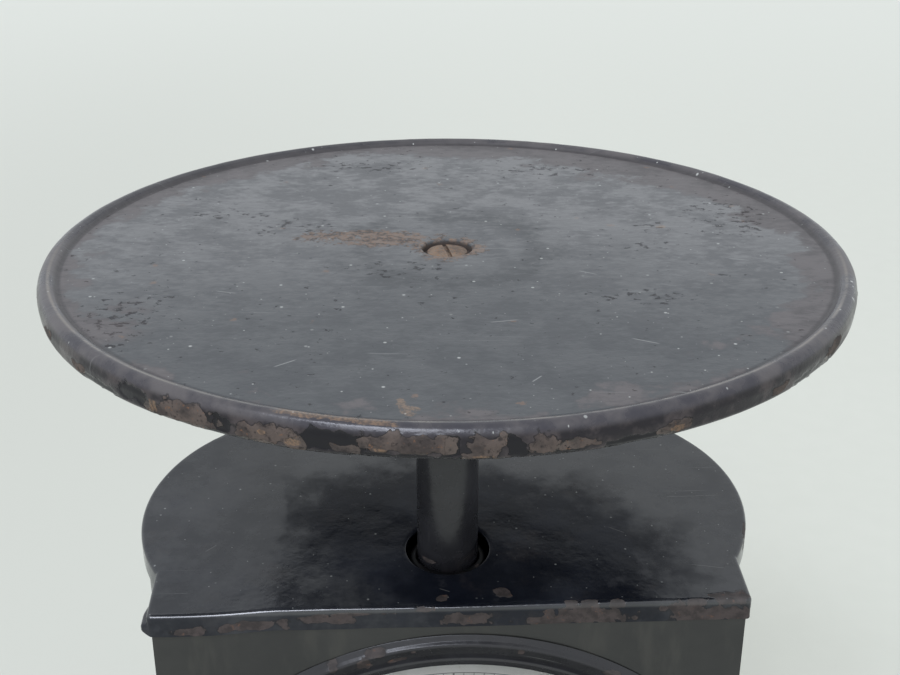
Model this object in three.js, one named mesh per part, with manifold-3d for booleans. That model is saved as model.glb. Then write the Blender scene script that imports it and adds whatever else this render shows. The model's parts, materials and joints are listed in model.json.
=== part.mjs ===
// Mechanical dial platform scale.
// Millimetres, +Z up, +Y towards the back, origin on the ground under the middle of the round plate.
// A round plate on a vertical post presses a crosshead down against two springs inside a sheet-metal
// case. A rack on the crosshead turns the pinion of the pointer, and two parallel links keep the post
// upright. Touching pieces keep a gap of CLEAR between them.

import * as THREE from 'three';
import { mergeVertices } from 'three/addons/utils/BufferGeometryUtils.js';
import Module from 'manifold-3d';

const wasm = await Module();
wasm.setup();

// ---- driving dimensions ----

const CLEAR = 0.3; // gap between pieces that touch
const RUN_CLEAR = 0.4; // radial gap round a moving shaft

const PLATE_RADIUS = 130;
const PLATE_TOP = 388; // flat top of the plate above the ground
const RIM_HEIGHT = 2; // crest of the rim above the flat
const BOSS_DEPTH = 16; // underside of the plate's boss below the flat
const RECESS_RADIUS = 8.2;
const RECESS_DEPTH = 3;

const POST_RADIUS = 11;
const COLLAR_RADIUS = 13.6;
const TRAVEL = 15; // stroke of the platform at full load

const ROOF_Z = 272.3; // top of the roof at the post's axis
const ROOF_SLOPE = THREE.MathUtils.degToRad(5); // down towards the front
const ROOF_HOLE = 15.1;
const LIP_HEIGHT = 8.2;
const SHEET = 1.2;
const LIP_SHEET = 1;

const BODY_HALF_WIDTH = 104.2; // half of the straight front edge
const BODY_FRONT = -32.5;
const LOBE_X = 44.2;
const LOBE_Y = 27.3;
const LOBE_RADIUS = 70;
const CASE_INSET = 1.4; // case wall inside the roof's outline

const DIAL_X = 3; // the pinion sits beside the rack, so the dial is a little off the post's axis
const DIAL_Z = 142.2;
const BEZEL_RADIUS = 115;
const WINDOW_RADIUS = 103.5;
const DIAL_RADIUS = 108;

const PANEL_FRONT = -31.2; // front face of the front panel
const PAN_BACK = -14; // rear face of the dial pan
const DIAL_FRONT = -24.5; // face of the dial plate
const PANEL_BACK = PANEL_FRONT + SHEET;

const FOOT_HEIGHT = 8;
const BASE_TOP = 22;
const FLOOR = BASE_TOP + CLEAR; // what stands on the base starts here

const PITCH_RADIUS = 2.5; // pinion
const PINION_TEETH = 10;
const RACK_X = DIAL_X + PITCH_RADIUS; // pitch line of the rack

const CROSSHEAD_BOTTOM = 222;
const CROSSHEAD_TOP = 232;
const YOKE_BOTTOM = 90;
const YOKE_TOP = 99.7;
const BEAM_BOTTOM = 250;
const BEAM_TOP = 256;
const PILLAR_X = 88;
const STRAP_X = 39.5;
const SPRING_X = 62;

const LINK_PIN_Y = 13; // front pins of the links
const LINK_PIVOT_Y = 75; // rear pins of the links
const PIN_RADIUS = 2;
const UPPER_PIN_Z = 227;
const LOWER_PIN_Z = 94.8;

const ZERO_X = 0;
const ZERO_Y = 60;

// ---- materials ----

function finish(color, roughness, metalness) {
  return new THREE.MeshStandardMaterial({ color, roughness, metalness });
}
const paintedIron = () => finish(0x24242a, 0.55, 0.2);
const glossPaint = () => finish(0x15161c, 0.25, 0.1);
const panelPaint = () => finish(0x2d2e2c, 0.45, 0.1);
const steel = () => finish(0x8b8d90, 0.4, 0.9);
const darkSteel = () => finish(0x4a4644, 0.6, 0.7);
const brass = () => finish(0xb08d4c, 0.35, 0.9);
const enamel = () => finish(0xe6e6e0, 0.5, 0);
const clearGlass = () => finish(0xdfe6e6, 0.05, 0);
const blackRubber = () => finish(0x161616, 0.85, 0);

// ---- geometry helpers ----

function signedVolume(geometry) {
  const position = geometry.getAttribute('position');
  const index = geometry.index;
  const corners = [new THREE.Vector3(), new THREE.Vector3(), new THREE.Vector3()];
  let volume = 0;
  for (let i = 0; i < index.count; i += 3) {
    corners.forEach((corner, k) => corner.fromBufferAttribute(position, index.getX(i + k)));
    volume += corners[0].dot(corners[1].clone().cross(corners[2])) / 6;
  }
  return volume;
}

// Merges shared vertices and turns the faces outwards.
function closed(geometry) {
  const bare = geometry.clone();
  bare.deleteAttribute('normal');
  bare.deleteAttribute('uv');
  const merged = mergeVertices(bare, 1e-4);
  const index = [];
  for (let i = 0; i < merged.index.count; i += 3) {
    const [a, b, c] = [0, 1, 2].map((k) => merged.index.getX(i + k));
    if (a !== b && b !== c && c !== a) {
      index.push(a, b, c);
    }
  }
  merged.setIndex(index);
  if (signedVolume(merged) < 0) {
    for (let i = 0; i < index.length; i += 3) {
      [index[i + 1], index[i + 2]] = [index[i + 2], index[i + 1]];
    }
    merged.setIndex(index);
  }
  return merged;
}

function toSolid(geometry) {
  const mesh = closed(geometry);
  return new wasm.Manifold(new wasm.Mesh({
    numProp: 3,
    vertProperties: new Float32Array(mesh.getAttribute('position').array),
    triVerts: new Uint32Array(mesh.index.array),
  }));
}

function fromSolid(solid) {
  const mesh = solid.getMesh();
  const geometry = new THREE.BufferGeometry();
  geometry.setAttribute('position', new THREE.BufferAttribute(mesh.vertProperties, 3));
  geometry.setIndex(new THREE.BufferAttribute(mesh.triVerts, 1));
  return geometry;
}

function combine(geometry, tools, operation) {
  let solid = toSolid(geometry);
  for (const tool of tools) {
    solid = solid[operation](toSolid(tool));
  }
  return fromSolid(solid);
}
const cut = (geometry, ...tools) => combine(geometry, tools, 'subtract');
const join = (geometry, ...tools) => combine(geometry, tools, 'add');

// Box from its lowest to its highest corner.
function block(x0, y0, z0, x1, y1, z1) {
  const geometry = new THREE.BoxGeometry(x1 - x0, y1 - y0, z1 - z0);
  return geometry.translate((x0 + x1) / 2, (y0 + y1) / 2, (z0 + z1) / 2);
}

// Round bar about Z.
function rodZ(x, y, radius, z0, z1, sides = 24) {
  const geometry = new THREE.CylinderGeometry(radius, radius, z1 - z0, sides);
  return geometry.rotateX(Math.PI / 2).translate(x, y, (z0 + z1) / 2);
}

// Round bar about Y.
function rodY(x, z, radius, y0, y1, sides = 24) {
  const geometry = new THREE.CylinderGeometry(radius, radius, y1 - y0, sides);
  return geometry.translate(x, (y0 + y1) / 2, z);
}

// Round bar about X.
function rodX(y, z, radius, x0, x1, sides = 12) {
  const geometry = new THREE.CylinderGeometry(radius, radius, x1 - x0, sides);
  return geometry.rotateZ(Math.PI / 2).translate((x0 + x1) / 2, y, z);
}

// Turned piece about Z: points are [radius, height].
function turned(points, sides = 32) {
  const profile = points.map(([r, z]) => new THREE.Vector2(r, z));
  return new THREE.LatheGeometry(profile, sides).rotateX(Math.PI / 2);
}

// Turned ring: the profile closes on itself.
function ring(points, sides = 32) {
  return turned([...points, points[0]], sides);
}

// Turned piece about the dial's axis: points are [radius, y].
function dialRing(points, sides = 48) {
  const profile = [...points, points[0]].map(([r, y]) => new THREE.Vector2(r, y));
  return new THREE.LatheGeometry(profile, sides).translate(DIAL_X, 0, DIAL_Z);
}

// Sheet lying in XY from z0 to z1.
function slab(shape, z0, z1, curveSegments = 9) {
  const options = { depth: z1 - z0, bevelEnabled: false, curveSegments };
  return new THREE.ExtrudeGeometry(shape, options).translate(0, 0, z0);
}

// Tilts level planes to the roof's slope and leaves upright ones upright.
function shearToRoof(geometry) {
  const slope = new THREE.Matrix4().set(1, 0, 0, 0, 0, 1, 0, 0, 0, Math.tan(ROOF_SLOPE), 1, 0, 0, 0, 0, 1);
  return geometry.applyMatrix4(slope);
}

function roofHeight(y) {
  return ROOF_Z + y * Math.tan(ROOF_SLOPE);
}

// Outline of the body seen from above, set in by a distance: straight front, round lobes, straight back.
function bodyOutline(inset) {
  const halfWidth = BODY_HALF_WIDTH - inset;
  const radius = LOBE_RADIUS - inset;
  const shoulder = Math.acos(Math.min(1, (halfWidth - LOBE_X) / radius));
  const shape = new THREE.Shape();
  shape.moveTo(-halfWidth, BODY_FRONT + inset);
  shape.lineTo(halfWidth, BODY_FRONT + inset);
  shape.absarc(LOBE_X, LOBE_Y, radius, -shoulder, Math.PI / 2, false);
  shape.absarc(-LOBE_X, LOBE_Y, radius, Math.PI / 2, Math.PI + shoulder, false);
  shape.closePath();
  return shape;
}

const parts = new THREE.Group();

function add(name, geometry, material) {
  const mesh = new THREE.Mesh(closed(geometry), material);
  mesh.name = name;
  parts.add(mesh);
}

// ---- base and case ----

const FOOT_SPOTS = [[-80, -16], [80, -16], [62, 68], [-62, 68]];

function baseCasting() {
  let base = slab(bodyOutline(-4), FOOT_HEIGHT, BASE_TOP);
  base = cut(base, slab(bodyOutline(2.5), FOOT_HEIGHT - 1, BASE_TOP - 6));
  const bosses = FOOT_SPOTS.map(([x, y]) => rodZ(x, y, 13, FOOT_HEIGHT, BASE_TOP - 5));
  base = join(base, ...bosses);
  const panRoom = rodY(DIAL_X, DIAL_Z, BEZEL_RADIUS + 1, -60, PAN_BACK + 1, 64);
  const curbRing = cut(slab(bodyOutline(3.6), BASE_TOP - 1, 34), slab(bodyOutline(7), BASE_TOP - 2, 35));
  const curb = cut(curbRing, panRoom);
  return cut(join(base, curb), ...caseScrewSpots().map(({ place }) => place(rodZ(0, 0, 2.3, -8, 8, 12))));
}

function foot(x, y) {
  const profile = [[0, 0], [9.5, 0], [11, 1.5], [10, FOOT_HEIGHT - CLEAR], [0, FOOT_HEIGHT - CLEAR]];
  return turned(profile, 24).translate(x, y, 0);
}

// Each spot turns a piece made about Z, head towards +Z, so that it points out of the case wall.
function caseScrewSpots() {
  const height = 28.5;
  const side = LOBE_X + LOBE_RADIUS - CASE_INSET;
  const face = (g, angle, x, y) => g.rotateX(Math.PI / 2).rotateZ(angle).translate(x, y, height);
  return [
    { name: 'case_screw_right', place: (g) => face(g, Math.PI / 2, side, LOBE_Y) },
    { name: 'case_screw_left', place: (g) => face(g, -Math.PI / 2, -side, LOBE_Y) },
    { name: 'case_screw_front_right', place: (g) => face(g, 0, 88, PANEL_FRONT) },
    { name: 'case_screw_front_left', place: (g) => face(g, 0, -88, PANEL_FRONT) },
  ];
}

// Slotted round-head screw about Z, its seat at z = 0.
function slottedScrew(headRadius, headHeight, shankRadius, length) {
  const profile = [
    [0, -length], [shankRadius, -length], [shankRadius, CLEAR], [headRadius, CLEAR],
    [headRadius * 0.75, headHeight], [0, headHeight],
  ];
  const slot = block(-headRadius, -0.5, headHeight * 0.45, headRadius, 0.5, headHeight + 1);
  return cut(turned(profile, 12), slot);
}

function caseShell() {
  const top = ROOF_Z + 40;
  const inside = slab(bodyOutline(CASE_INSET + SHEET), 0, top + 1);
  const wall = cut(slab(bodyOutline(CASE_INSET), FLOOR, top), inside);
  const aboveRoof = shearToRoof(block(-150, -60, ROOF_Z - LIP_SHEET - 0.5, 150, 150, top + 60));
  const front = block(-150, -60, 0, 150, PANEL_BACK + CLEAR, top);
  const panRoom = rodY(DIAL_X, DIAL_Z, BEZEL_RADIUS + 0.6, -60, PAN_BACK + 1, 64);
  const rearOpening = block(-33, 80, 112, 33, 110, 218);
  const holes = caseScrewSpots().map(({ place }) => place(rodZ(0, 0, 2.4, -6, 6, 12)));
  const coverHoles = backScrewSpots().map(([x, z]) => rodY(x, z, 2, 80, 100, 12));
  return cut(wall, aboveRoof, front, panRoom, rearOpening, ...holes, ...coverHoles);
}

function roofCover() {
  const bottom = ROOF_Z - LIP_HEIGHT;
  const outer = slab(bodyOutline(0), bottom, ROOF_Z, 16);
  const inside = slab(bodyOutline(LIP_SHEET), bottom - 1, ROOF_Z - LIP_SHEET, 16);
  const roof = shearToRoof(cut(outer, inside));
  const postHole = rodZ(0, 0, ROOF_HOLE, ROOF_Z - 20, ROOF_Z + 20, 48);
  const zeroHole = rodZ(ZERO_X, ZERO_Y, 3.4, ROOF_Z - 20, ROOF_Z + 40, 16);
  return cut(roof, postHole, zeroHole);
}

function frontPanel() {
  const halfWidth = BODY_HALF_WIDTH - CASE_INSET;
  const top = roofHeight(BODY_FRONT) - LIP_SHEET - 0.6;
  const sheet = block(-halfWidth, PANEL_FRONT, FLOOR, halfWidth, PANEL_BACK, top);
  const round = rodY(DIAL_X, DIAL_Z, BEZEL_RADIUS, PANEL_FRONT, PANEL_BACK, 60);
  const window = rodY(DIAL_X, DIAL_Z, WINDOW_RADIUS, PANEL_FRONT - 1, PANEL_BACK + 1, 60);
  const holes = caseScrewSpots().map(({ place }) => place(rodZ(0, 0, 2.4, -6, 6, 12)));
  return cut(join(sheet, round), window, ...holes);
}

const REAR_FACE = LOBE_Y + LOBE_RADIUS - CASE_INSET; // outside of the case's flat back

function backScrewSpots() {
  return [[-37, 106], [37, 106], [37, 224], [-37, 224]];
}

function backCover() {
  const sheet = block(-42, REAR_FACE + CLEAR, 101, 42, REAR_FACE + CLEAR + SHEET, 229);
  const holes = backScrewSpots().map(([x, z]) => rodY(x, z, 2, 80, 100, 12));
  return cut(sheet, ...holes);
}

add('base_casting', baseCasting(), paintedIron());
FOOT_SPOTS.forEach(([x, y], i) => add(`foot_${i + 1}`, foot(x, y), blackRubber()));
add('case_shell', caseShell(), glossPaint());
add('roof_cover', roofCover(), glossPaint());
add('front_panel', frontPanel(), panelPaint());
add('back_cover', backCover(), glossPaint());
backScrewSpots().forEach(([x, z], i) => {
  const screw = slottedScrew(3.6, 2.2, 1.6, 5).rotateX(-Math.PI / 2);
  add(`back_screw_${i + 1}`, screw.translate(x, REAR_FACE + CLEAR + SHEET, z), darkSteel());
});
caseScrewSpots().forEach(({ name, place }) => {
  add(name, place(slottedScrew(4.2, 2.4, 1.9, 7)), darkSteel());
});

// ---- dial ----

function dialBezel() {
  const seat = PANEL_FRONT - CLEAR;
  const throat = WINDOW_RADIUS - 1.5;
  const profile = [
    [BEZEL_RADIUS, 0], [114.7, -2.1], [113.8, -3.7], [112.3, -4], [110.5, -2.9], [108.2, -1.7], [105.4, -1.6],
    [throat, -0.4], [throat, 1.1], [WINDOW_RADIUS - CLEAR, 1.1], [WINDOW_RADIUS - CLEAR, 0],
  ];
  return dialRing(profile.map(([r, y]) => [r, seat + y]));
}

function dialPan() {
  const wall = 1.2;
  const outer = BEZEL_RADIUS - 0.4;
  const front = PANEL_BACK + CLEAR;
  const bore = 5;
  return dialRing([
    [bore, PAN_BACK - wall], [outer - wall, PAN_BACK - wall], [outer - wall, front], [outer, front],
    [outer, PAN_BACK], [bore, PAN_BACK],
  ]);
}

const GLASS_FRONT = PANEL_BACK + CLEAR;
const GLASS_BACK = GLASS_FRONT + 1.6;
const PILLAR_SPOTS = [[-60, 0], [60, 0]]; // dial pillars, from the dial's centre

function dialPlate() {
  const back = DIAL_FRONT + 1;
  const disc = dialRing([[4, DIAL_FRONT], [DIAL_RADIUS, DIAL_FRONT], [DIAL_RADIUS, back], [4, back]]);
  const holes = PILLAR_SPOTS.map(([x, z]) => rodY(DIAL_X + x, DIAL_Z + z, 1.8, -40, 0, 12));
  return cut(disc, ...holes);
}

function dialPillar(x, z) {
  return rodY(DIAL_X + x, DIAL_Z + z, 4, DIAL_FRONT + 1 + CLEAR + 3, PAN_BACK - 1.2 - CLEAR, 16);
}

function pointer() {
  const tip = 86;
  const tail = 30;
  const shape = new THREE.Shape();
  shape.moveTo(0, tip);
  shape.lineTo(-1.1, tip - 8);
  shape.lineTo(-2.2, 8);
  shape.absarc(0, 0, 8, Math.PI / 2 + 0.28, Math.PI * 1.5 - 0.4, false);
  shape.lineTo(-3.4, -tail + 6);
  shape.absarc(0, -tail, 7, Math.PI / 2 + 0.5, Math.PI * 2.5 - 0.5, false);
  shape.absarc(0, 0, 8, -Math.PI / 2 + 0.4, Math.PI / 2 - 0.28, false);
  shape.lineTo(1.1, tip - 8);
  shape.closePath();
  const blade = slab(shape, 0, 0.8).rotateX(Math.PI / 2).translate(DIAL_X, DIAL_FRONT - 0.9, DIAL_Z);
  return cut(blade, rodY(DIAL_X, DIAL_Z, 1.8, -40, 0, 16));
}

function gear(teeth, rootRadius, tipRadius, y0, y1, bore) {
  const shape = new THREE.Shape();
  const step = (2 * Math.PI) / teeth;
  for (let i = 0; i < teeth; i += 1) {
    const corners = [[rootRadius, 0.05], [tipRadius, 0.3], [tipRadius, 0.55], [rootRadius, 0.8]];
    corners.forEach(([radius, part], k) => {
      const angle = (i + part) * step;
      const spot = [radius * Math.cos(angle), radius * Math.sin(angle)];
      if (i === 0 && k === 0) {
        shape.moveTo(...spot);
      } else {
        shape.lineTo(...spot);
      }
    });
  }
  shape.closePath();
  const body = slab(shape, 0, y1 - y0).rotateX(-Math.PI / 2).translate(DIAL_X, y0, DIAL_Z);
  return cut(body, rodY(DIAL_X, DIAL_Z, bore, y0 - 1, y1 + 1, 16));
}

const SHAFT_RADIUS = 1.5;

add('dial_bezel', dialBezel(), glossPaint());
add('dial_glass', rodY(DIAL_X, DIAL_Z, 111, GLASS_FRONT, GLASS_BACK, 48), clearGlass());
add('glass_gasket', dialRing([
  [107, GLASS_BACK + CLEAR], [111, GLASS_BACK + CLEAR], [111, GLASS_BACK + 2], [107, GLASS_BACK + 2],
], 36), blackRubber());
add('dial_plate', dialPlate(), enamel());
add('dial_pan', dialPan(), darkSteel());
PILLAR_SPOTS.forEach(([x, z], i) => {
  add(`dial_pillar_${i + 1}`, dialPillar(x, z), brass());
  const screw = slottedScrew(3, 0.9, 1.4, 3.6).rotateX(Math.PI / 2);
  add(`dial_screw_${i + 1}`, screw.translate(DIAL_X + x, DIAL_FRONT, DIAL_Z + z), brass());
});
add('pointer', pointer(), darkSteel());
add('pointer_cap', turned([[0, 0], [4.4, 0], [3.6, 0.7], [0, 1]], 20).rotateX(Math.PI / 2)
  .translate(DIAL_X, DIAL_FRONT - 2, DIAL_Z), brass());
add('pointer_shaft', rodY(DIAL_X, DIAL_Z, SHAFT_RADIUS, DIAL_FRONT - 1.7, 17, 16), steel());
add('pinion', gear(PINION_TEETH, 1.95, 2.85, -5, 5, SHAFT_RADIUS + 0.1), brass());

function bush(innerRadius, outerRadius, flangeRadius, y0, y1, flangeY) {
  return dialRing([
    [innerRadius, y0], [flangeRadius, y0], [flangeRadius, flangeY], [outerRadius, flangeY],
    [outerRadius, y1], [innerRadius, y1],
  ], 16);
}
const bearingBore = SHAFT_RADIUS + 0.1;
const panFront = PAN_BACK - 1.2;
add('front_bearing', bush(bearingBore, 4.7, 7, panFront - 2, PAN_BACK + 1, panFront - CLEAR), brass());

const BRACKET_BACK = 16;
const BRACKET_SHEET = 2;
function rearBearingBracket() {
  const [left, right, bottom, top] = [-22, 28, DIAL_Z - 9, DIAL_Z + 9];
  const start = PAN_BACK + CLEAR;
  const outer = block(left, start, bottom, right, BRACKET_BACK, top);
  const inner = block(left + 2, start - 1, bottom - 1, right - 2, BRACKET_BACK - BRACKET_SHEET, top + 1);
  const ears = [
    block(left - 10, start, bottom, left + 1, start + BRACKET_SHEET, top),
    block(right - 1, start, bottom, right + 10, start + BRACKET_SHEET, top),
  ];
  return cut(join(cut(outer, inner), ...ears), rodY(DIAL_X, DIAL_Z, 4, 0, 20, 24));
}
add('rear_bearing_bracket', rearBearingBracket(), steel());
const rearFlange = BRACKET_BACK - BRACKET_SHEET - CLEAR;
add('rear_bearing', bush(bearingBore, 3.7, 6, rearFlange - 1.6, BRACKET_BACK + 1, rearFlange), brass());

// ---- spring frame, fixed ----

function springBeam() {
  const bar = block(-PILLAR_X - 8, -9, BEAM_BOTTOM, PILLAR_X + 8, 9, BEAM_TOP);
  const tail = block(-9, 8, BEAM_BOTTOM, 9, ZERO_Y + 10, BEAM_TOP);
  const holes = [rodZ(0, 0, 12.5, 240, 270, 32), rodZ(ZERO_X, ZERO_Y, 3.2, 240, 270, 16)];
  [-1, 1].forEach((side) => {
    holes.push(rodZ(side * PILLAR_X, 0, 2.8, 240, 270, 16));
    holes.push(rodZ(side * SPRING_X, 0, 2.3, 240, 270, 16));
  });
  return cut(join(bar, tail), ...holes);
}

function pillar(x) {
  const profile = [
    [0, FLOOR], [8, FLOOR], [8, FLOOR + 3], [4, FLOOR + 5], [4, BEAM_BOTTOM - CLEAR],
    [2.5, BEAM_BOTTOM - CLEAR], [2.5, BEAM_TOP + 7], [0, BEAM_TOP + 7],
  ];
  return turned(profile, 20).translate(x, 0, 0);
}

function hexNut(x, y, z0, z1, bore, acrossCorners) {
  return cut(rodZ(x, y, acrossCorners / 2, z0, z1, 6), rodZ(x, y, bore, z0 - 1, z1 + 1, 16));
}

// Extension spring about Z, its coils between z0 and z1.
function spring(x, z0, z1) {
  const turns = 9;
  const coilRadius = 6;
  const wire = 0.9;
  class Helix extends THREE.Curve {
    getPoint(t, target = new THREE.Vector3()) {
      const angle = 2 * Math.PI * turns * t;
      const height = z0 + wire + (z1 - z0 - 2 * wire) * t;
      return target.set(x + coilRadius * Math.cos(angle), coilRadius * Math.sin(angle), height);
    }
  }
  const section = new THREE.Shape();
  section.absarc(0, 0, wire, 0, 2 * Math.PI, false);
  const options = { steps: turns * 8, bevelEnabled: false, extrudePath: new Helix(), curveSegments: 2 };
  return new THREE.ExtrudeGeometry(section, options);
}

const SPRING_BOTTOM = YOKE_TOP + CLEAR + 2;
const SPRING_TOP = BEAM_BOTTOM - CLEAR - 2;
const hangerStud = (x) => turned([
  [0, SPRING_TOP - 14], [3.6, SPRING_TOP - 14], [3.6, SPRING_TOP], [2, SPRING_TOP], [2, BEAM_TOP + 4],
  [0, BEAM_TOP + 4],
], 16).translate(x, 0, 0);

add('spring_beam', springBeam(), steel());
[['left', -1], ['right', 1]].forEach(([name, side]) => {
  add(`pillar_${name}`, pillar(side * PILLAR_X), steel());
  add(`pillar_nut_${name}`, hexNut(side * PILLAR_X, 0, BEAM_TOP + CLEAR, BEAM_TOP + 5, 2.8, 11.5), steel());
  add(`spring_stud_${name}`, hangerStud(side * SPRING_X), steel());
  add(`spring_${name}`, spring(side * SPRING_X, SPRING_BOTTOM, SPRING_TOP), steel());
});
add('guide_collar', ring([
  [POST_RADIUS + RUN_CLEAR, BEAM_TOP + CLEAR], [COLLAR_RADIUS, BEAM_TOP + CLEAR],
  [COLLAR_RADIUS, ROOF_Z - 4], [COLLAR_RADIUS - 1, ROOF_Z - 3], [POST_RADIUS + RUN_CLEAR, ROOF_Z - 3],
], 32), steel());

// ---- platform, sliding ----

function plate() {
  const bore = 3.4;
  const rim = [
    [6.5, 0], [5.1, 1.3], [3.4, RIM_HEIGHT], [1.5, 1.3], [0.5, 0], [0, -2.6], [0.4, -6.8], [2, -8],
  ];
  const disc = ring([
    [bore, -RECESS_DEPTH], [RECESS_RADIUS, -RECESS_DEPTH], [RECESS_RADIUS, 0],
    ...rim.map(([inset, z]) => [PLATE_RADIUS - inset, z]),
    [PLATE_RADIUS - 6, -4.4], [18, -4.4], [16, -BOSS_DEPTH], [bore, -BOSS_DEPTH],
  ], 60);
  const ribShape = new THREE.Shape();
  ribShape.moveTo(14, -4);
  ribShape.lineTo(14, -14);
  ribShape.lineTo(22, -13);
  ribShape.lineTo(120, -7);
  ribShape.lineTo(120, -4);
  ribShape.closePath();
  const ribs = [];
  const count = 6;
  for (let i = 0; i < count; i += 1) {
    const rib = slab(ribShape, -1.5, 1.5).rotateX(Math.PI / 2).rotateZ((2 * Math.PI * (i + 0.5)) / count);
    ribs.push(rib);
  }
  return join(disc, ...ribs).translate(0, 0, PLATE_TOP);
}

const POST_TOP = PLATE_TOP - BOSS_DEPTH - CLEAR;
function post() {
  const bar = rodZ(0, 0, POST_RADIUS, CROSSHEAD_TOP + CLEAR, POST_TOP, 40);
  return cut(bar, rodZ(0, 0, 3.4, POST_TOP - 22, POST_TOP + 1, 16));
}

function plateScrew() {
  const seat = PLATE_TOP - RECESS_DEPTH;
  return slottedScrew(6.6, 2.2, 3, 30).rotateZ(0.5).translate(0, 0, seat);
}

function crosshead() {
  const bar = block(-44, -7, CROSSHEAD_BOTTOM, 44, 7, CROSSHEAD_TOP);
  const lug = block(-5, 6, CROSSHEAD_BOTTOM + 1, 5, LINK_PIN_Y + 4, CROSSHEAD_TOP - 1);
  return cut(join(bar, lug), rodX(LINK_PIN_Y, UPPER_PIN_Z, PIN_RADIUS + 0.1, -20, 20));
}

function lowerYoke() {
  const bar = block(-SPRING_X - 10, -6, YOKE_BOTTOM, SPRING_X + 10, 6, YOKE_TOP);
  const lug = block(-5, 5, YOKE_BOTTOM + 0.8, 5, LINK_PIN_Y + 4, YOKE_TOP - 0.8);
  const pegs = [-1, 1].map((side) => rodZ(side * SPRING_X, 0, 3.6, YOKE_TOP - 1, SPRING_BOTTOM + 12, 16));
  return cut(join(bar, lug, ...pegs), rodX(LINK_PIN_Y, LOWER_PIN_Z, PIN_RADIUS + 0.1, -20, 20));
}

function strap(side) {
  const x = side * STRAP_X;
  return block(x - 1.5, -6, YOKE_TOP + CLEAR, x + 1.5, 6, CROSSHEAD_BOTTOM - CLEAR);
}

// Toothed bar hanging from the crosshead, its teeth towards the pinion.
function rack() {
  const pitch = (2 * Math.PI * PITCH_RADIUS) / PINION_TEETH;
  const tipX = RACK_X + 0.4 + CLEAR;
  const bottom = DIAL_Z - 12;
  const bar = block(tipX, -4, bottom, tipX + 6, 4, CROSSHEAD_BOTTOM - CLEAR);
  const notches = [];
  for (let z = bottom + pitch / 2; z < DIAL_Z + TRAVEL + 14; z += pitch) {
    notches.push(block(tipX - 1, -5, z - pitch / 4, tipX + 0.9, 5, z + pitch / 4));
  }
  return cut(bar, ...notches);
}

add('plate', plate(), paintedIron());
add('plate_screw', plateScrew(), darkSteel());
add('post', post(), glossPaint());
add('crosshead', crosshead(), steel());
add('strap_left', strap(-1), steel());
add('strap_right', strap(1), steel());
add('lower_yoke', lowerYoke(), steel());
add('rack', rack(), brass());

// ---- parallel links ----

const LINK_RISE = TRAVEL / 2; // the front pins start this much above the rear pins

function linkPost() {
  const bar = block(-5, LINK_PIVOT_Y - 4, FLOOR, 5, LINK_PIVOT_Y + 4, UPPER_PIN_Z - LINK_RISE + 6);
  const flange = block(-16, LINK_PIVOT_Y - 12, FLOOR, 16, LINK_PIVOT_Y + 7, FLOOR + 4);
  const holes = [UPPER_PIN_Z, LOWER_PIN_Z].map((z) => {
    return rodX(LINK_PIVOT_Y, z - LINK_RISE, PIN_RADIUS + 0.1, -20, 20);
  });
  return cut(join(bar, flange), ...holes);
}

// A pair of arms with a cross tie, from the rear pin up to the front pin.
function link(frontPinZ) {
  const run = LINK_PIVOT_Y - LINK_PIN_Y;
  const length = Math.hypot(run, LINK_RISE);
  const arms = [-1, 1].map((side) => block(side * 8 - 1.5, -length - 4, -4, side * 8 + 1.5, 4, 4));
  const tie = block(-8, -length / 2 - 5, -4, 8, -length / 2 + 5, -1);
  const frontBore = rodX(-length, 0, PIN_RADIUS + 0.9, -20, 20, 12);
  const rearBore = rodX(0, 0, PIN_RADIUS + 0.2, -20, 20, 12);
  const frame = cut(join(arms[0], arms[1], tie), frontBore, rearBore);
  return frame.rotateX(-Math.atan2(LINK_RISE, run)).translate(0, LINK_PIVOT_Y, frontPinZ - LINK_RISE);
}

add('link_post', linkPost(), steel());
[['upper', UPPER_PIN_Z], ['lower', LOWER_PIN_Z]].forEach(([name, z]) => {
  add(`${name}_link`, link(z), steel());
  add(`${name}_front_pin`, rodX(LINK_PIN_Y, z, PIN_RADIUS, -12, 12), steel());
  add(`${name}_rear_pin`, rodX(LINK_PIVOT_Y, z - LINK_RISE, PIN_RADIUS, -12, 12), steel());
});

// ---- zero adjuster ----

const KNOB_SEAT = roofHeight(ZERO_Y) + 2;

function zeroKnob() {
  const profile = [
    [0, 236], [2.4, 236], [2.4, KNOB_SEAT], [8, KNOB_SEAT], [9, KNOB_SEAT + 1], [9, KNOB_SEAT + 8],
    [8, KNOB_SEAT + 9], [0, KNOB_SEAT + 9],
  ];
  const knob = turned(profile, 24).translate(ZERO_X, ZERO_Y, 0);
  const slot = block(-10, ZERO_Y - 0.7, KNOB_SEAT + 7.5, 10, ZERO_Y + 0.7, KNOB_SEAT + 12);
  return cut(knob, slot);
}

function zeroNut() {
  const nut = block(ZERO_X - 6, ZERO_Y - 6, 241, ZERO_X + 6, ZERO_Y + 6, 246.5);
  return cut(nut, rodZ(ZERO_X, ZERO_Y, 2.5, 230, 250, 16));
}

add('zero_knob', zeroKnob(), brass());
add('zero_nut', zeroNut(), brass());

export default parts;
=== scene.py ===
import json
import math

import bmesh
import bpy
import numpy as np
from mathutils import Matrix, Vector, noise


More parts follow.
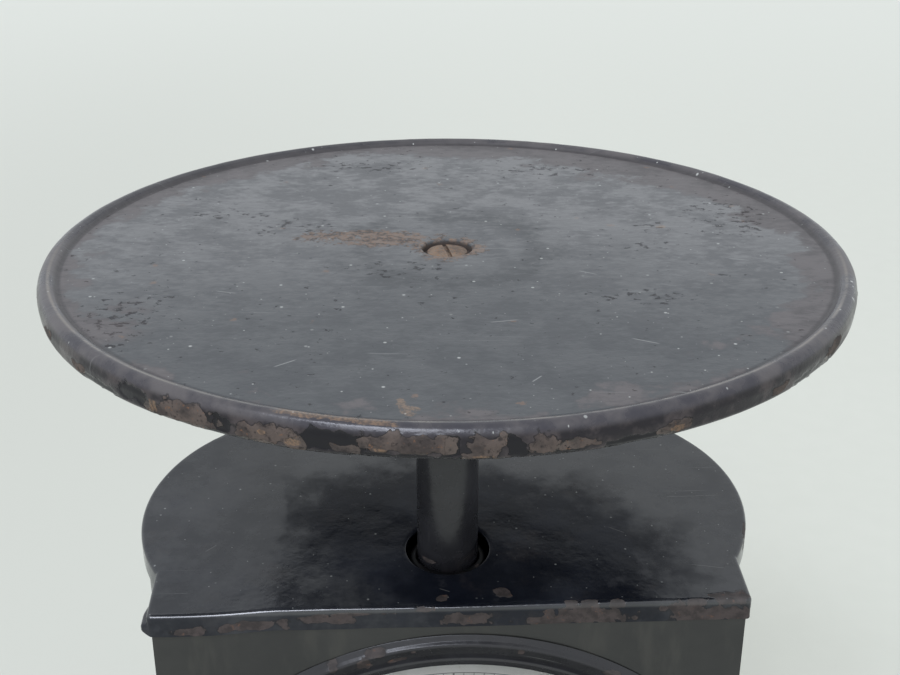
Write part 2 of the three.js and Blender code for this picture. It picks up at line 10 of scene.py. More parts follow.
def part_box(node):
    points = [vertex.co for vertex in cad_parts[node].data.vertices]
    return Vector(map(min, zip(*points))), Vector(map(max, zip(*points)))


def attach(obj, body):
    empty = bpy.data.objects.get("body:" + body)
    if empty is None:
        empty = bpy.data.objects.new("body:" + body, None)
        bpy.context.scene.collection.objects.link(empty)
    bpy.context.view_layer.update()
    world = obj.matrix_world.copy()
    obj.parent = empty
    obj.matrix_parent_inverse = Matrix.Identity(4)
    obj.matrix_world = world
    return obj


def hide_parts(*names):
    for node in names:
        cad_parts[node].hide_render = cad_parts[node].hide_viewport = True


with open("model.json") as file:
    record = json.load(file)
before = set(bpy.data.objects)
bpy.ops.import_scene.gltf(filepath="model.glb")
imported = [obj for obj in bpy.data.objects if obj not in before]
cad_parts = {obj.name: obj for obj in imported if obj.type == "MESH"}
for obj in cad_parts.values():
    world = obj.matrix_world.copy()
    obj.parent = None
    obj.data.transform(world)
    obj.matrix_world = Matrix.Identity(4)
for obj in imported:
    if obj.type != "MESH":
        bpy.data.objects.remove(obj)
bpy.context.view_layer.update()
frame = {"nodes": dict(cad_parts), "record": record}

MM = 0.001
TAU = 2 * math.pi

# ---- sizes, from the CAD model where it has them ----

plate_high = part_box("plate")[1]
roof_low, roof_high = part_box("roof_cover")
panel_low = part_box("front_panel")[0]
bezel_low, bezel_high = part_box("dial_bezel")
pan_low, pan_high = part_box("dial_pan")
face_low, face_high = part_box("dial_plate")
base_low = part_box("base_casting")[0]
case_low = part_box("case_shell")[0]
cover_low, cover_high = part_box("back_cover")
post_low, post_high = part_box("post")
collar_low, collar_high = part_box("guide_collar")
knob_low, knob_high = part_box("zero_knob")

RIM_RISE = 2 * MM
PLATE_RADIUS = plate_high.x
PLATE_TOP = plate_high.z - RIM_RISE
PLATE_SHEET = 4.4 * MM
RECESS_RADIUS = 8.2 * MM
RECESS_DEPTH = 3 * MM
RIBS = 6

ROOF_SLOPE = math.tan(math.radians(5))
ROOF_Z = roof_high.z - roof_high.y * ROOF_SLOPE  # roof height at the post's axis
ROOF_HOLE = 15.1 * MM
LIP = 8.2 * MM
LIP_SHEET = 1 * MM
EDGE_ROLL = 1.5 * MM
CREASE_X = -61 * MM  # left of here the roof is bent down a little
CREASE_SLOPE = 0.075
VIEW_TURN = math.radians(2.4)  # the scale is seen from this far to its left

HALF_WIDTH = 104.2 * MM
BODY_FRONT = roof_low.y
LOBE_RADIUS = 70 * MM
LOBE_X = roof_high.x - LOBE_RADIUS
LOBE_Y = roof_high.y - LOBE_RADIUS
CASE_INSET = 1.4 * MM
SHEET = 1.2 * MM

DIAL_X = (bezel_low.x + bezel_high.x) / 2
DIAL_Z = (bezel_low.z + bezel_high.z) / 2
BEZEL_RADIUS = (bezel_high.x - bezel_low.x) / 2
WINDOW_RADIUS = 103.5 * MM
DIVISIONS = 160
SCALE_RADIUS = 93.3 * MM


# ---- mesh helpers ----


def rounded(corners, closed=False, steps=5):
    """A line through (a, b, radius) corners, with each corner eased by its radius."""
    points = []
    last = len(corners) - 1
    for k, (a, b, radius) in enumerate(corners):
        here = np.array([a, b])
        if radius == 0 or (not closed and k in (0, last)):
            points.append(here)
            continue
        before = np.array(corners[k - 1][:2]) - here
        after = np.array(corners[(k + 1) % len(corners)][:2]) - here
        lengths = np.linalg.norm(before), np.linalg.norm(after)
        opening = math.acos(np.clip(before @ after / (lengths[0] * lengths[1]), -1, 1))
        reach = min(radius / max(math.tan(opening / 2), 0.05), 0.49 * min(lengths))
        start = here + before / lengths[0] * reach
        end = here + after / lengths[1] * reach
        for t in np.linspace(0, 1, steps):
            points.append((1 - t) ** 2 * start + 2 * t * (1 - t) * here + t * t * end)
    return np.array(points)


def spaced(line, gap, closed=False):
    """The same line with its points no further apart than gap."""
    ends = np.roll(line, -1, axis=0) if closed else line[1:]
    points = []
    for p, q in zip(line, ends):
        count = max(1, math.ceil(np.linalg.norm(q - p) / gap))
        points.extend(p + (q - p) * k / count for k in range(count))
    if not closed:
        points.append(line[-1])
    return np.array(points)


def turned(profile, count, centre, axis="z"):
    """Rings of (radius, height) points about an upright line, or about a line along Y."""
    angle = np.linspace(0, TAU, count, endpoint=False)
    radius, height = profile[:, :1], profile[:, 1:2]
    across, up = radius * np.cos(angle), radius * np.sin(angle)
    level = np.broadcast_to(height, across.shape)
    if axis == "z":
        return np.stack([centre[0] + across, centre[1] + up, level], -1)
    return np.stack([centre[0] + across, level, centre[1] + up], -1)


def ring_mesh(name, points, wrap=True, loop=False):
    """Quads over a (rings, around, 3) array.

    wrap closes each ring, loop joins the last ring to the first.
    """
    rings, around = points.shape[:2]
    rows = np.arange(rings if loop else rings - 1)
    columns = np.arange(around if wrap else around - 1)
    i, j = np.meshgrid(rows, columns, indexing="ij")
    i_next, j_next = (i + 1) % rings, (j + 1) % around
    faces = [i * around + j, i * around + j_next, i_next * around + j_next, i_next * around + j]
    mesh = bpy.data.meshes.new(name)
    mesh.from_pydata(points.reshape(-1, 3).tolist(), [], np.stack(faces, -1).reshape(-1, 4).tolist())
    return mesh


def settle(mesh, sharp=35, fill=False):
    """Welds the mesh, fills its open ends if asked, turns its faces outwards and shades it smooth."""
    work = bmesh.new()
    work.from_mesh(mesh)
    bmesh.ops.remove_doubles(work, verts=work.verts, dist=1e-6)
    if fill:
        open_edges = [edge for edge in work.edges if edge.is_boundary]
        bmesh.ops.holes_fill(work, edges=open_edges, sides=0)
    bmesh.ops.recalc_face_normals(work, faces=work.faces)
    work.to_mesh(mesh)
    work.free()
    mesh.shade_smooth()
    mesh.set_sharp_from_angle(angle=math.radians(sharp))
    return mesh


def coordinates(mesh):
    values = np.empty(len(mesh.vertices) * 3)
    mesh.vertices.foreach_get("co", values)
    return values.reshape(-1, 3)


def push(mesh, distances):
    """Moves each vertex along its normal."""
    normals = np.empty(len(mesh.vertices) * 3)
    mesh.vertex_normals.foreach_get("vector", normals)
    moved = coordinates(mesh) + normals.reshape(-1, 3) * distances[:, None]
    mesh.vertices.foreach_set("co", moved.ravel())
    mesh.update()


def mark(mesh, name, values):
    """Keeps one number per vertex for the material."""
    layer = mesh.attributes.new(name, "FLOAT", "POINT")
    layer.data.foreach_set("value", np.clip(values, -1, 1).astype(np.float32))


def fractal(points, size, octaves=4, seed=0.0):
    """Fractal noise over points, with features about as wide as size."""
    return np.array([noise.fractal(p, 0.9, 2.0, octaves) for p in (points / size + seed).tolist()])


def smooth(values, low, high):
    t = np.clip((values - low) / (high - low), 0, 1)
    return t * t * (3 - 2 * t)


def weather(mesh, size, gain, offset, seed):
    """Marks scattered chips with features about as wide as size."""
    mark(mesh, "flake", fractal(coordinates(mesh), size, 5, seed) * gain - offset)


def spots(u, v, places):
    """Largest of several blunt ellipses (u, v, half width, half height): 1 in the middle, 0 at the edge."""
    field = np.full(u.shape, -2.0)
    for middle_u, middle_v, half_u, half_v in places:
        reach = (np.abs((u - middle_u) / half_u) ** 3 + np.abs((v - middle_v) / half_v) ** 3) ** (1 / 3)
        field = np.maximum(field, 1 - reach)
    return field


def rotated(points, angle):
    """x and y of the points after a turn about the z axis."""
    c, s = math.cos(angle), math.sin(angle)
    return points[:, 0] * c - points[:, 1] * s, points[:, 0] * s + points[:, 1] * c


def box_mesh(low, high):
    corners = [(x, y, z) for x in (low[0], high[0]) for y in (low[1], high[1]) for z in (low[2], high[2])]
    faces = [(0, 1, 3, 2), (4, 6, 7, 5), (0, 4, 5, 1), (2, 3, 7, 6), (0, 2, 6, 4), (1, 5, 7, 3)]
    mesh = bpy.data.meshes.new("cutter")
    mesh.from_pydata(corners, [], faces)
    return mesh


def carved(mesh, cutters):
    """The mesh less each cutter."""
    collection = bpy.context.scene.collection
    target = bpy.data.objects.new("carved", mesh)
    collection.objects.link(target)
    tools = []
    for cutter in cutters:
        tool = bpy.data.objects.new("cutter", cutter)
        collection.objects.link(tool)
        tools.append(tool)
        cut = target.modifiers.new("cut", "BOOLEAN")
        cut.object = tool
        cut.solver = "EXACT"
    graph = bpy.context.evaluated_depsgraph_get()
    result = bpy.data.meshes.new_from_object(target.evaluated_get(graph))
    for helper in [target, *tools]:
        bpy.data.objects.remove(helper)
    return result


def piece(name, mesh, body, slot, material, *nodes):
    """Adds a mesh to the object: it rides on a body and stands for CAD nodes. The slot is not used."""
    made = bpy.data.objects.new(name, mesh)
    bpy.context.scene.collection.objects.link(made)
    mesh.materials.clear()
    mesh.materials.append(material)
    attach(made, body)
    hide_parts(*nodes)
    return made


# ---- material helpers ----


class Value:
    """What a node gives. Values add, subtract and multiply, which makes further nodes."""

    def __init__(self, finish, socket):
        self.finish = finish
        self.socket = socket

    def __add__(self, other):
        return self.finish.math("ADD", self, other)

    def __sub__(self, other):
        return self.finish.math("SUBTRACT", self, other)

    def __rsub__(self, other):
        return self.finish.math("SUBTRACT", other, self)

    def __mul__(self, other):
        return self.finish.math("MULTIPLY", self, other)

    def __abs__(self):
        return self.finish.math("ABSOLUTE", self)


class Finish:
    """A material's node tree. Its methods return a Value, or several."""

    def __init__(self, name):
        self.material = bpy.data.materials.new(name)
        self.material.use_nodes = True
        self.tree = self.material.node_tree
        self.shader = self.tree.nodes["Principled BSDF"]
        self.place = self.out(self.node("ShaderNodeTexCoord"), "Object")

    def node(self, kind, **values):
        made = self.tree.nodes.new(kind)
        for key, value in values.items():
            self.feed(made.inputs[key.replace("_", " ")], value)
        return made

    def out(self, made, which=0):
        return Value(self, made.outputs[which])

    def feed(self, socket, value):
        if isinstance(value, Value):
            self.tree.links.new(value.socket, socket)
        else:
            socket.default_value = value

    def math(self, operation, a, b=0.0):
        made = self.node("ShaderNodeMath")
        made.operation = operation
        self.feed(made.inputs[0], a)
        self.feed(made.inputs[1], b)
        return self.out(made)

    def most(self, a, b):
        return self.math("MAXIMUM", a, b)

    def stretched(self, scale, turn=0.0, shift=(0, 0, 0)):
        """The object's own coordinates, shifted, turned about Z and scaled."""
        return self.out(self.node(
            "ShaderNodeMapping", Vector=self.place, Scale=scale, Rotation=(0, 0, turn), Location=shift))

    def noise(self, size, detail=4.0, roughness=0.55, place=None):
        """Noise around 0.5 with features about as wide as size, in metres."""
        return self.out(
            self.node(
                "ShaderNodeTexNoise", Vector=place or self.place, Scale=1 / size, Detail=detail,
                Roughness=roughness),
            "Fac")

    def cells(self, size, place=None, flat=True):
        """Distance from the nearest of scattered points, and a random number for each point."""
        made = self.node("ShaderNodeTexVoronoi")
        made.voronoi_dimensions = "2D" if flat else "3D"
        self.feed(made.inputs["Vector"], place or self.place)
        made.inputs["Scale"].default_value = 1 / size
        split = self.node("ShaderNodeSeparateColor", Color=self.out(made, "Color"))
        return self.out(made, "Distance"), self.out(split)

    def ramp(self, value, low, high, start=0.0, end=1.0):
        """Eases from start at low to end at high, and stays level beyond them."""
        made = self.node("ShaderNodeMapRange")
        made.interpolation_type = "SMOOTHSTEP"
        for socket, number in zip(made.inputs[:5], (value, low, high, start, end)):
            self.feed(socket, number)
        return self.out(made)

    def near(self, value, middle, inner, outer):
        """1 within inner of the middle, easing to 0 at outer."""
        return 1.0 - self.ramp(abs(value - middle), inner, outer)

    def blend(self, share, a, b):
        made = self.node("ShaderNodeMix")
        made.data_type = "RGBA"
        self.feed(made.inputs[0], share)
        for socket, colour in ((made.inputs[6], a), (made.inputs[7], b)):
            self.feed(socket, colour if isinstance(colour, Value) else (*colour, 1))
        return self.out(made, 2)

    def mix(self, share, a, b):
        made = self.node("ShaderNodeMix")
        self.feed(made.inputs[0], share)
        self.feed(made.inputs[2], a)
        self.feed(made.inputs[3], b)
        return self.out(made)

    def axes(self):
        split = self.node("ShaderNodeSeparateXYZ", Vector=self.place)
        return self.out(split, 0), self.out(split, 1), self.out(split, 2)

    def distance(self, x, y):
        return self.math("SQRT", x * x + y * y)

    def attribute(self, name):
        made = self.node("ShaderNodeAttribute")
        made.attribute_name = name
        return self.out(made, "Fac")

    def bump(self, height, depth, under=None):
        made = self.node("ShaderNodeBump", Height=height, Distance=depth)
        if under is not None:
            self.feed(made.inputs["Normal"], under)
        return self.out(made)

    def scratches(self, width, gate, turns):
        """Short thin lines in several directions, where a broad noise lets them through."""
        found = 0.0
        for k, turn in enumerate(turns):
            lines = self.stretched((14, 1 / width, 14), turn, (k * 0.7, 0, k))
            line = self.noise(1.0, 1.0, 0.4, lines)
            opened = self.noise(gate, 2.0, 0.5, self.stretched((1, 1, 1), shift=(k, k, k)))
            found = self.most(found, self.ramp(line, 0.74, 0.78) * self.ramp(opened, 0.56, 0.62))
        return found

    def stroke(self, start, end, width):
        """One thin scratch on a level surface, from (x, y) to (x, y) in mm, fading at its ends."""
        start, end = np.array(start) * MM, np.array(end) * MM
        length = np.linalg.norm(end - start)
        along, middle = (end - start) / length, (start + end) / 2
        x, y, z = self.axes()
        x, y = x - float(middle[0]), y - float(middle[1])
        run = x * float(along[0]) + y * float(along[1])
        off = y * float(along[0]) - x * float(along[1])
        near = self.ramp(abs(off), width * MM, width * 0.3 * MM)
        return near * self.ramp(abs(run), float(length) / 2, float(length) / 3)

    def done(self, colour, roughness, normal=None, metal=None, **fixed):
        self.feed(self.shader.inputs["Base Color"], colour)
        self.feed(self.shader.inputs["Roughness"], roughness)
        if normal is not None:
            self.feed(self.shader.inputs["Normal"], normal)
        if metal is not None:
            self.feed(self.shader.inputs["Metallic"], metal)
        for key, value in fixed.items():
            self.shader.inputs[key.replace("_", " ")].default_value = value
        return self.material


RUST_BROWN = (0.04, 0.032, 0.03)
RUST_TAN = (0.088, 0.068, 0.059)
RUST_ORANGE = (0.15, 0.078, 0.045)
# dark outline laid round each chip
CHIP_OUTLINE = (0.009, 0.008, 0.009)


def rust_colour(f):
    """Brown scale mottled with tan, with a few orange crumbs and dark pits."""
    coarse = f.noise(0.006, 5.0, 0.6)
    fine = f.noise(0.0016, 4.0, 0.65)
    colour = f.blend(f.ramp(coarse, 0.36, 0.62), RUST_BROWN, RUST_TAN)
    colour = f.blend(f.ramp(fine, 0.6, 0.7, 0.0, 0.8), colour, RUST_ORANGE)
    return f.blend(f.ramp(fine, 0.46, 0.34, 0.0, 0.85), colour, (0.02, 0.016, 0.015))


def plate_paint():
    """Worn satin black on the plate: painted grey sheen behind and at the sides, brown patina, pits, dust
    and chips down to rust.
    """
    f = Finish("plate_paint")
    f.place = f.stretched((1, 1, 1), VIEW_TURN)
    x, y, z = f.axes()
    from_middle = f.distance(x, y)
    broad = f.noise(0.05, 6.0, 0.6)
    patchy = f.noise(0.016, 6.0, 0.62)
    fine = f.noise(0.0042, 5.0, 0.65, f.stretched((1, 1.8, 1), VIEW_TURN))
    grain = f.noise(0.0009, 3.0, 0.6)

    def blot(at_x, at_y, long, wide):
        across, up = (x - at_x * MM) * (1 / (long * MM)), (y - at_y * MM) * (1 / (wide * MM))
        return f.ramp(f.distance(across, up), 1.0, 0.35)

    # painted reflection: dark satin in front, painted paler behind and at the sides where the grazing sheen
    # of the surroundings is brighter
    reach = y + abs(x) * 0.4
    reach = reach + (broad + patchy - 1.0) * 0.1
    painted_sheen = f.ramp(reach, -0.06, 0.07)
    colour = f.blend(painted_sheen, (0.05, 0.0535, 0.058), (0.114, 0.1155, 0.119))
    mottle = f.ramp(patchy * 0.6 + fine * 0.4, 0.46, 0.58)
    colour = f.blend(mottle * (painted_sheen * 0.18 + 0.2), colour, (0.043, 0.046, 0.051))
    colour = f.blend(f.ramp(fine, 0.48, 0.34, 0.0, 0.3) * painted_sheen, colour, (0.16, 0.165, 0.165))
    # violet brown patina with a torn inner edge, widest along the far and right side
    drift = (patchy + broad - 1.0) * 0.06 + y * 0.08 + x * 0.035
    worn = f.ramp(from_middle + drift, 0.1085, 0.1155)
    worn = f.most(worn, blot(-96, -62, 16, 22) * f.ramp(patchy, 0.42, 0.5))
    patina = f.blend(
        f.ramp(fine * 0.5 + patchy * 0.5, 0.4, 0.58), (0.05, 0.043, 0.045), (0.098, 0.087, 0.088))
    colour = f.blend(worn * 0.85, colour, patina)
    # faint darker ring round the middle
    ring = f.near(from_middle, 0.032, 0.002, 0.01)
    colour = f.blend(ring * f.ramp(patchy, 0.4, 0.58, 0.15, 0.6), colour, (0.036, 0.039, 0.043))
    # dark pits gathered in loose clusters
    pocks = f.noise(0.0026, 4.0, 0.65, f.stretched((0.8, 1.0, 1), VIEW_TURN))
    bands = f.ramp(f.noise(0.03, 4.0, 0.6), 0.5, 0.64, 0.0, 0.02)
    for place in (
            (-54, 20, 27, 13), (-18, -19, 20, 10), (64, 3, 24, 8), (-78, 33, 24, 10), (40, 88, 34, 12),
            (-30, 92, 40, 12), (-92, -60, 20, 30), (72, 22, 14, 7), (58, -42, 24, 9), (98, 30, 20, 34)):
        bands = f.most(bands, blot(*place) * 0.095)
    flat = f.ramp(from_middle, 0.1235, 0.122)
    pits = f.ramp(pocks + bands, 0.65, 0.71) * flat
    colour = f.blend(
        pits * 0.42, colour, f.blend(f.ramp(grain, 0.4, 0.6), (0.018, 0.016, 0.018), (0.04, 0.032, 0.03)))
    # broken rust that spread from the screw recess, mostly to the left and behind
    area = f.most(blot(-28, 9, 34, 12), f.ramp(f.distance(x, y - 0.001), 0.0165, 0.008))
    torn = f.noise(0.0022, 5.0, 0.7) * 0.55 + patchy * 0.45
    rust_here = f.ramp(area * 0.17 + torn, 0.585, 0.635)
    rust_here = rust_here * f.ramp(area, 0.0, 0.25)
    rust_tone = f.blend(f.ramp(pocks, 0.42, 0.56), (0.06, 0.05, 0.046), (0.18, 0.138, 0.112))
    rust_tone = f.blend(f.ramp(grain, 0.5, 0.68), rust_tone, (0.2, 0.12, 0.075))
    colour = f.blend(rust_here * 0.85, colour, rust_tone)
    deep = f.ramp(z, PLATE_TOP - 0.4 * MM, PLATE_TOP - 1.6 * MM)
    colour = f.blend(deep * f.ramp(from_middle, 0.012, 0.0085), colour, (0.07, 0.056, 0.05))
    # scattered crumbs of rust on the flat
    crumb_gap, crumb_pick = f.cells(0.028)
    crumb_size = f.noise(0.0018, 4.0, 0.7) * 0.26 - 0.105
    crumbs = f.ramp(crumb_size - crumb_gap, -0.01, 0.01) * f.ramp(crumb_pick, 0.6, 0.64)
    colour = f.blend(crumbs * 0.7, colour, (0.14, 0.088, 0.062))
    # the rolled rim: smoother, violet on its crest and darker down its wall
    rim = f.ramp(from_middle, 0.1232, 0.1252)
    cloud = f.noise(0.02, 5.0, 0.6)
    rim_tone = f.blend(f.ramp(cloud, 0.4, 0.62), (0.03, 0.028, 0.036), (0.078, 0.07, 0.072))
    # painted shade: the crest tone is darkened towards the far left
    shaded = f.ramp(y, -0.02, 0.05) * f.ramp(x, 0.06, -0.06)
    rim_tone = f.blend(shaded * 0.65, rim_tone, (0.02, 0.019, 0.023))
    wall = f.ramp(z, PLATE_TOP + 0.5 * MM, PLATE_TOP - 1.6 * MM)
    wall_tone = f.blend(
        f.ramp(f.noise(0.009, 5.0, 0.62), 0.42, 0.6), (0.014, 0.012, 0.015), (0.05, 0.041, 0.042))
    colour = f.blend(rim, colour, f.blend(wall, rim_tone, wall_tone))
    # rubbed line along the crest in front, dark line where the flat meets the rim behind
    seam = f.near(from_middle, 0.1262, 0.0001, 0.0008)
    seam = seam * f.ramp(y, 0.03, -0.05) * f.ramp(cloud + patchy, 0.88, 1.08, 0.1, 0.7)
    colour = f.blend(seam, colour, (0.18, 0.16, 0.14))
    root = f.near(from_middle, 0.1235, 0.0003, 0.0014)
    colour = f.blend(root * 0.6, colour, (0.02, 0.018, 0.02))
    # brown scale and glossy bare patches shaped in the mesh
    flake, bare = f.attribute("flake"), f.attribute("bare")
    shred = (f.noise(0.0022, 4.0, 0.7) - 0.5) * 0.5
    bare_patch = f.ramp(bare + shred, 0.0, 0.05)
    colour = f.blend(bare_patch, colour, (0.0065, 0.006, 0.0085))
    ragged = flake + shred
    scale = f.ramp(ragged, 0.0, 0.04)
    outline = f.ramp(ragged, -0.14, -0.02) * (1.0 - scale)
    colour = f.blend(outline * 0.8, colour, CHIP_OUTLINE)
    colour = f.blend(scale, colour, rust_colour(f))
    glow = f.attribute("glow") + (f.noise(0.0016, 4.0, 0.7) - 0.52) * 1.6
    glow_tone = f.blend(f.ramp(grain, 0.4, 0.6), (0.1, 0.07, 0.05), (0.22, 0.14, 0.085))
    colour = f.blend(f.ramp(glow, 0.0, 0.3, 0.0, 0.62), colour, glow_tone)
    # dust and short pale scratches
    specks = 0.0
    for size, width, share, shift in (
            (0.019, 0.034, 0.5, 0.1), (0.011, 0.034, 0.62, 0.5), (0.0045, 0.05, 0.74, 0.9)):
        gap, pick = f.cells(size, f.stretched((1, 1, 1), shift, (shift, shift, 0)))
        strength = f.ramp(pick, share, share + 0.3, 0.0, 0.95)
        specks = f.most(specks, f.ramp(gap, width, width * 0.4) * strength)
    lines = f.scratches(0.0007, 0.03, (0.1, 0.9, 1.7, 2.6)) * 0.5
    for start, end in (
            ((41, -21), (47, -24.5)), ((51, -73), (59, -77)), ((-46, -92), (-40, -87)),
            ((12, -62), (21, -60)), ((90, -10), (97, -12)), ((-70, -38), (-63, -40)), ((4, 88), (12, 91)),
            ((22, -101), (25, -97))):
        lines = f.most(lines, f.stroke(start, end, 0.28))
    colour = f.blend(lines * 0.8, colour, (0.24, 0.245, 0.24))
    specks = specks * (1.0 - wall)
    colour = f.blend(specks * 0.85, colour, (0.45, 0.46, 0.44))
    satin = f.ramp(patchy + fine * 0.5, 0.6, 0.9, 0.36, 0.52)
    roughness = f.mix(rim, f.mix(worn, satin, 0.5), f.ramp(cloud, 0.35, 0.65, 0.2, 0.4))
    roughness = f.mix(f.most(f.most(scale, rust_here), pits), roughness, 0.75)
    roughness = f.mix(bare_patch, roughness, 0.16)
    f.feed(f.shader.inputs["Specular IOR Level"], f.mix(f.most(pits, wall * 0.75), 0.5, 0.2))
    height = fine * 0.4 + grain * 0.08 - pits * 0.5
    height = height + scale * grain * 0.7 + rust_here * 0.15
    height = height + (scale - bare_patch) * 0.6
    return f.done(colour, roughness, f.bump(height, 0.00028, f.bump(broad, 0.0008)))


def gloss_paint(name, base, wear, rough=(0.12, 0.3), dust=0.5, roof=False, bezel=False, level=0.42):
    """Aged gloss black: a thin hazy tint, cloudy polish, scratches, and chips down to brown; on the roof a
    painted sheen towards the edges.
    """
    f = Finish(name)
    x, y, z = f.axes()
    cloud = f.noise(0.035, 5.0, 0.6)
    patchy = f.noise(0.012, 5.0, 0.65)
    fine = f.noise(0.0035, 4.0, 0.65)
    grain = f.noise(0.0009, 3.0, 0.6)
    tint = tuple(channel * 1.9 + 0.006 for channel in base)
    colour = f.blend(f.ramp(cloud, 0.4, 0.72), base, tint)
    grime = f.ramp(f.noise(0.022, 6.0, 0.7), 0.54, 0.7)
    colour = f.blend(grime * wear, colour, (0.045, 0.038, 0.036))
    if roof:
        # deep oily black round the post with a low specular level; towards the edges and left of the crease
        # a paler hazy tone, partly a painted sheen for the bright surroundings the gloss reflects there
        deep_x = (x - 12 * MM) * (1 / (76 * MM))
        deep_y = (y - 4 * MM) * (1 / (52 * MM))
        shape = f.distance(deep_x, deep_y + deep_x * 0.3)
        shape = shape + (cloud + patchy - 1.0) * 0.55
        hazy_sheen_zone = f.ramp(shape, 0.7, 1.15)
        past = f.ramp(CREASE_X - x + (patchy - 0.5) * 0.02, -0.005, 0.002)
        hazy_sheen_zone = f.most(hazy_sheen_zone, past)
        level = f.mix(hazy_sheen_zone, 0.14, f.mix(past, 0.59, 0.5))
        # the rounded front edge is still polished, the lip below it is less glossy
        front_edge = f.ramp(y, BODY_FRONT + 2.2 * MM, BODY_FRONT + 1.2 * MM)
        edge_z = ROOF_Z + BODY_FRONT * ROOF_SLOPE
        level = f.mix(front_edge, level, f.ramp(z, edge_z - 2.6 * MM, edge_z - 1.4 * MM, 0.24, 0.9))
        # partly haze, partly a painted reflection: paler colour towards the edges
        haze_and_painted_sheen = hazy_sheen_zone * f.ramp(cloud + patchy, 0.8, 1.2, 0.25, 1.0)
        colour = f.blend(haze_and_painted_sheen * 0.85, colour, (0.04, 0.0415, 0.0445))
        smudge = f.ramp(patchy + fine * 0.4, 0.76, 0.9, 0.0, 0.6)
        colour = f.blend(smudge, colour, (0.03, 0.031, 0.037))
    if bezel:
        # painted reflection: the shoulder is painted paler, standing in for the bright surroundings it
        # reflects, and a thin step is painted paler too; both get a higher specular level, while the slopes
        # between them keep the base black with a low one
        out = f.distance(x - DIAL_X, z - DIAL_Z)
        shoulder = f.ramp(out, 0.1109, 0.1117)
        thin = f.near(out, 0.1051, 0.0003, 0.0008)
        level = f.mix(f.most(shoulder, thin), 0.12, 0.5)
        colour = f.blend(f.most(shoulder, thin) * 0.6, colour, (0.025, 0.0245, 0.028))
    f.feed(f.shader.inputs["Specular IOR Level"], level)
    flake = f.attribute("flake")
    ragged = flake + (f.noise(0.0024, 4.0, 0.7) - 0.5) * 0.5
    chipped = f.ramp(ragged, 0.0, 0.05)
    edge = f.ramp(ragged, -0.14, -0.02) * (1.0 - chipped)
    colour = f.blend(edge * 0.6, colour, CHIP_OUTLINE)
    brown = f.blend(f.ramp(fine, 0.38, 0.62), (0.036, 0.03, 0.029), (0.062, 0.05, 0.048))
    brown = f.blend(f.ramp(f.noise(0.0028, 4.0, 0.65), 0.6, 0.7), brown, (0.095, 0.058, 0.045))
    colour = f.blend(chipped, colour, brown)
    lines = f.scratches(0.0007, 0.03, (0.3, 1.3, 2.5))
    if roof:
        for start, end in (
                ((85.5, -12.5), (99, -15.5)), ((-4, -22.5), (0, -24.5)), ((60, 10), (66, 6)),
                ((-88, 2), (-84, 6))):
            lines = f.most(lines, f.stroke(start, end, 0.24))
    colour = f.blend(lines * 0.6, colour, (0.13, 0.13, 0.13))
    specks = 0.0
    for size, width, share in ((0.013, 0.04, 0.6), (0.006, 0.05, 0.74)):
        gap, pick = f.cells(size, flat=roof)
        specks = f.most(specks, f.ramp(gap, width, width * 0.4) * f.ramp(pick, share, share + 0.2))
    colour = f.blend(specks * dust, colour, (0.36, 0.37, 0.36))
    roughness = f.ramp(cloud * 0.6 + patchy * 0.4, 0.35, 0.7, *rough)
    roughness = f.mix(chipped, f.most(roughness, grime * wear), 0.72)
    if roof:
        roughness = f.mix(front_edge * (1.0 - chipped), roughness, 0.14)
    swell = f.bump(cloud, 0.0005)
    height = grain * 0.04 + patchy * 0.14 + chipped * grain * 0.5
    height = height - (lines * 0.1 + chipped * 0.3)
    return f.done(colour, roughness, f.bump(height, 0.0002, swell))


def panel_paint():
    """Dull olive black sheet with old stains and a few brown crumbs."""
    f = Finish("panel_paint")
    cloud = f.noise(0.05, 5.0, 0.6)
    drips = f.noise(0.02, 5.0, 0.6, f.stretched((2.2, 1, 0.5)))
    grain = f.noise(0.0012, 4.0, 0.6)
    colour = f.blend(f.ramp(cloud, 0.35, 0.65), (0.0135, 0.0138, 0.0135), (0.024, 0.0242, 0.0222))
    colour = f.blend(f.ramp(drips, 0.5, 0.7, 0.0, 0.6), colour, (0.036, 0.035, 0.03))
    flake = f.attribute("flake")
    chipped = f.ramp(flake + (f.noise(0.004, 4.0) - 0.5) * 0.5, 0.0, 0.08)
    colour = f.blend(chipped * 0.8, colour, (0.085, 0.066, 0.055))
    gap, pick = f.cells(0.009, flat=False)
    crumbs = f.ramp(gap, 0.06, 0.03) * f.ramp(pick, 0.75, 0.8)
    colour = f.blend(crumbs * 0.45, colour, (0.13, 0.12, 0.1))
    roughness = f.ramp(cloud, 0.3, 0.7, 0.3, 0.48)
    height = grain * 0.1 + drips * 0.4
    return f.done(colour, roughness, f.bump(height, 0.0002, f.bump(cloud, 0.0004)))


def rusty_steel():
    f = Finish("rusty_steel")
    coarse = f.noise(0.005, 5.0, 0.65)
    fine = f.noise(0.0009, 4.0, 0.65)
    colour = f.blend(f.ramp(coarse, 0.36, 0.64), (0.1, 0.072, 0.056), (0.2, 0.145, 0.105))
    colour = f.blend(f.ramp(fine, 0.54, 0.68), colour, (0.25, 0.12, 0.055))
    colour = f.blend(f.ramp(fine, 0.44, 0.3), colour, (0.03, 0.022, 0.02))
    height = coarse + fine * 0.5
    return f.done(colour, f.ramp(fine, 0.3, 0.7, 0.6, 0.82), f.bump(height, 0.0002), metal=0.15)


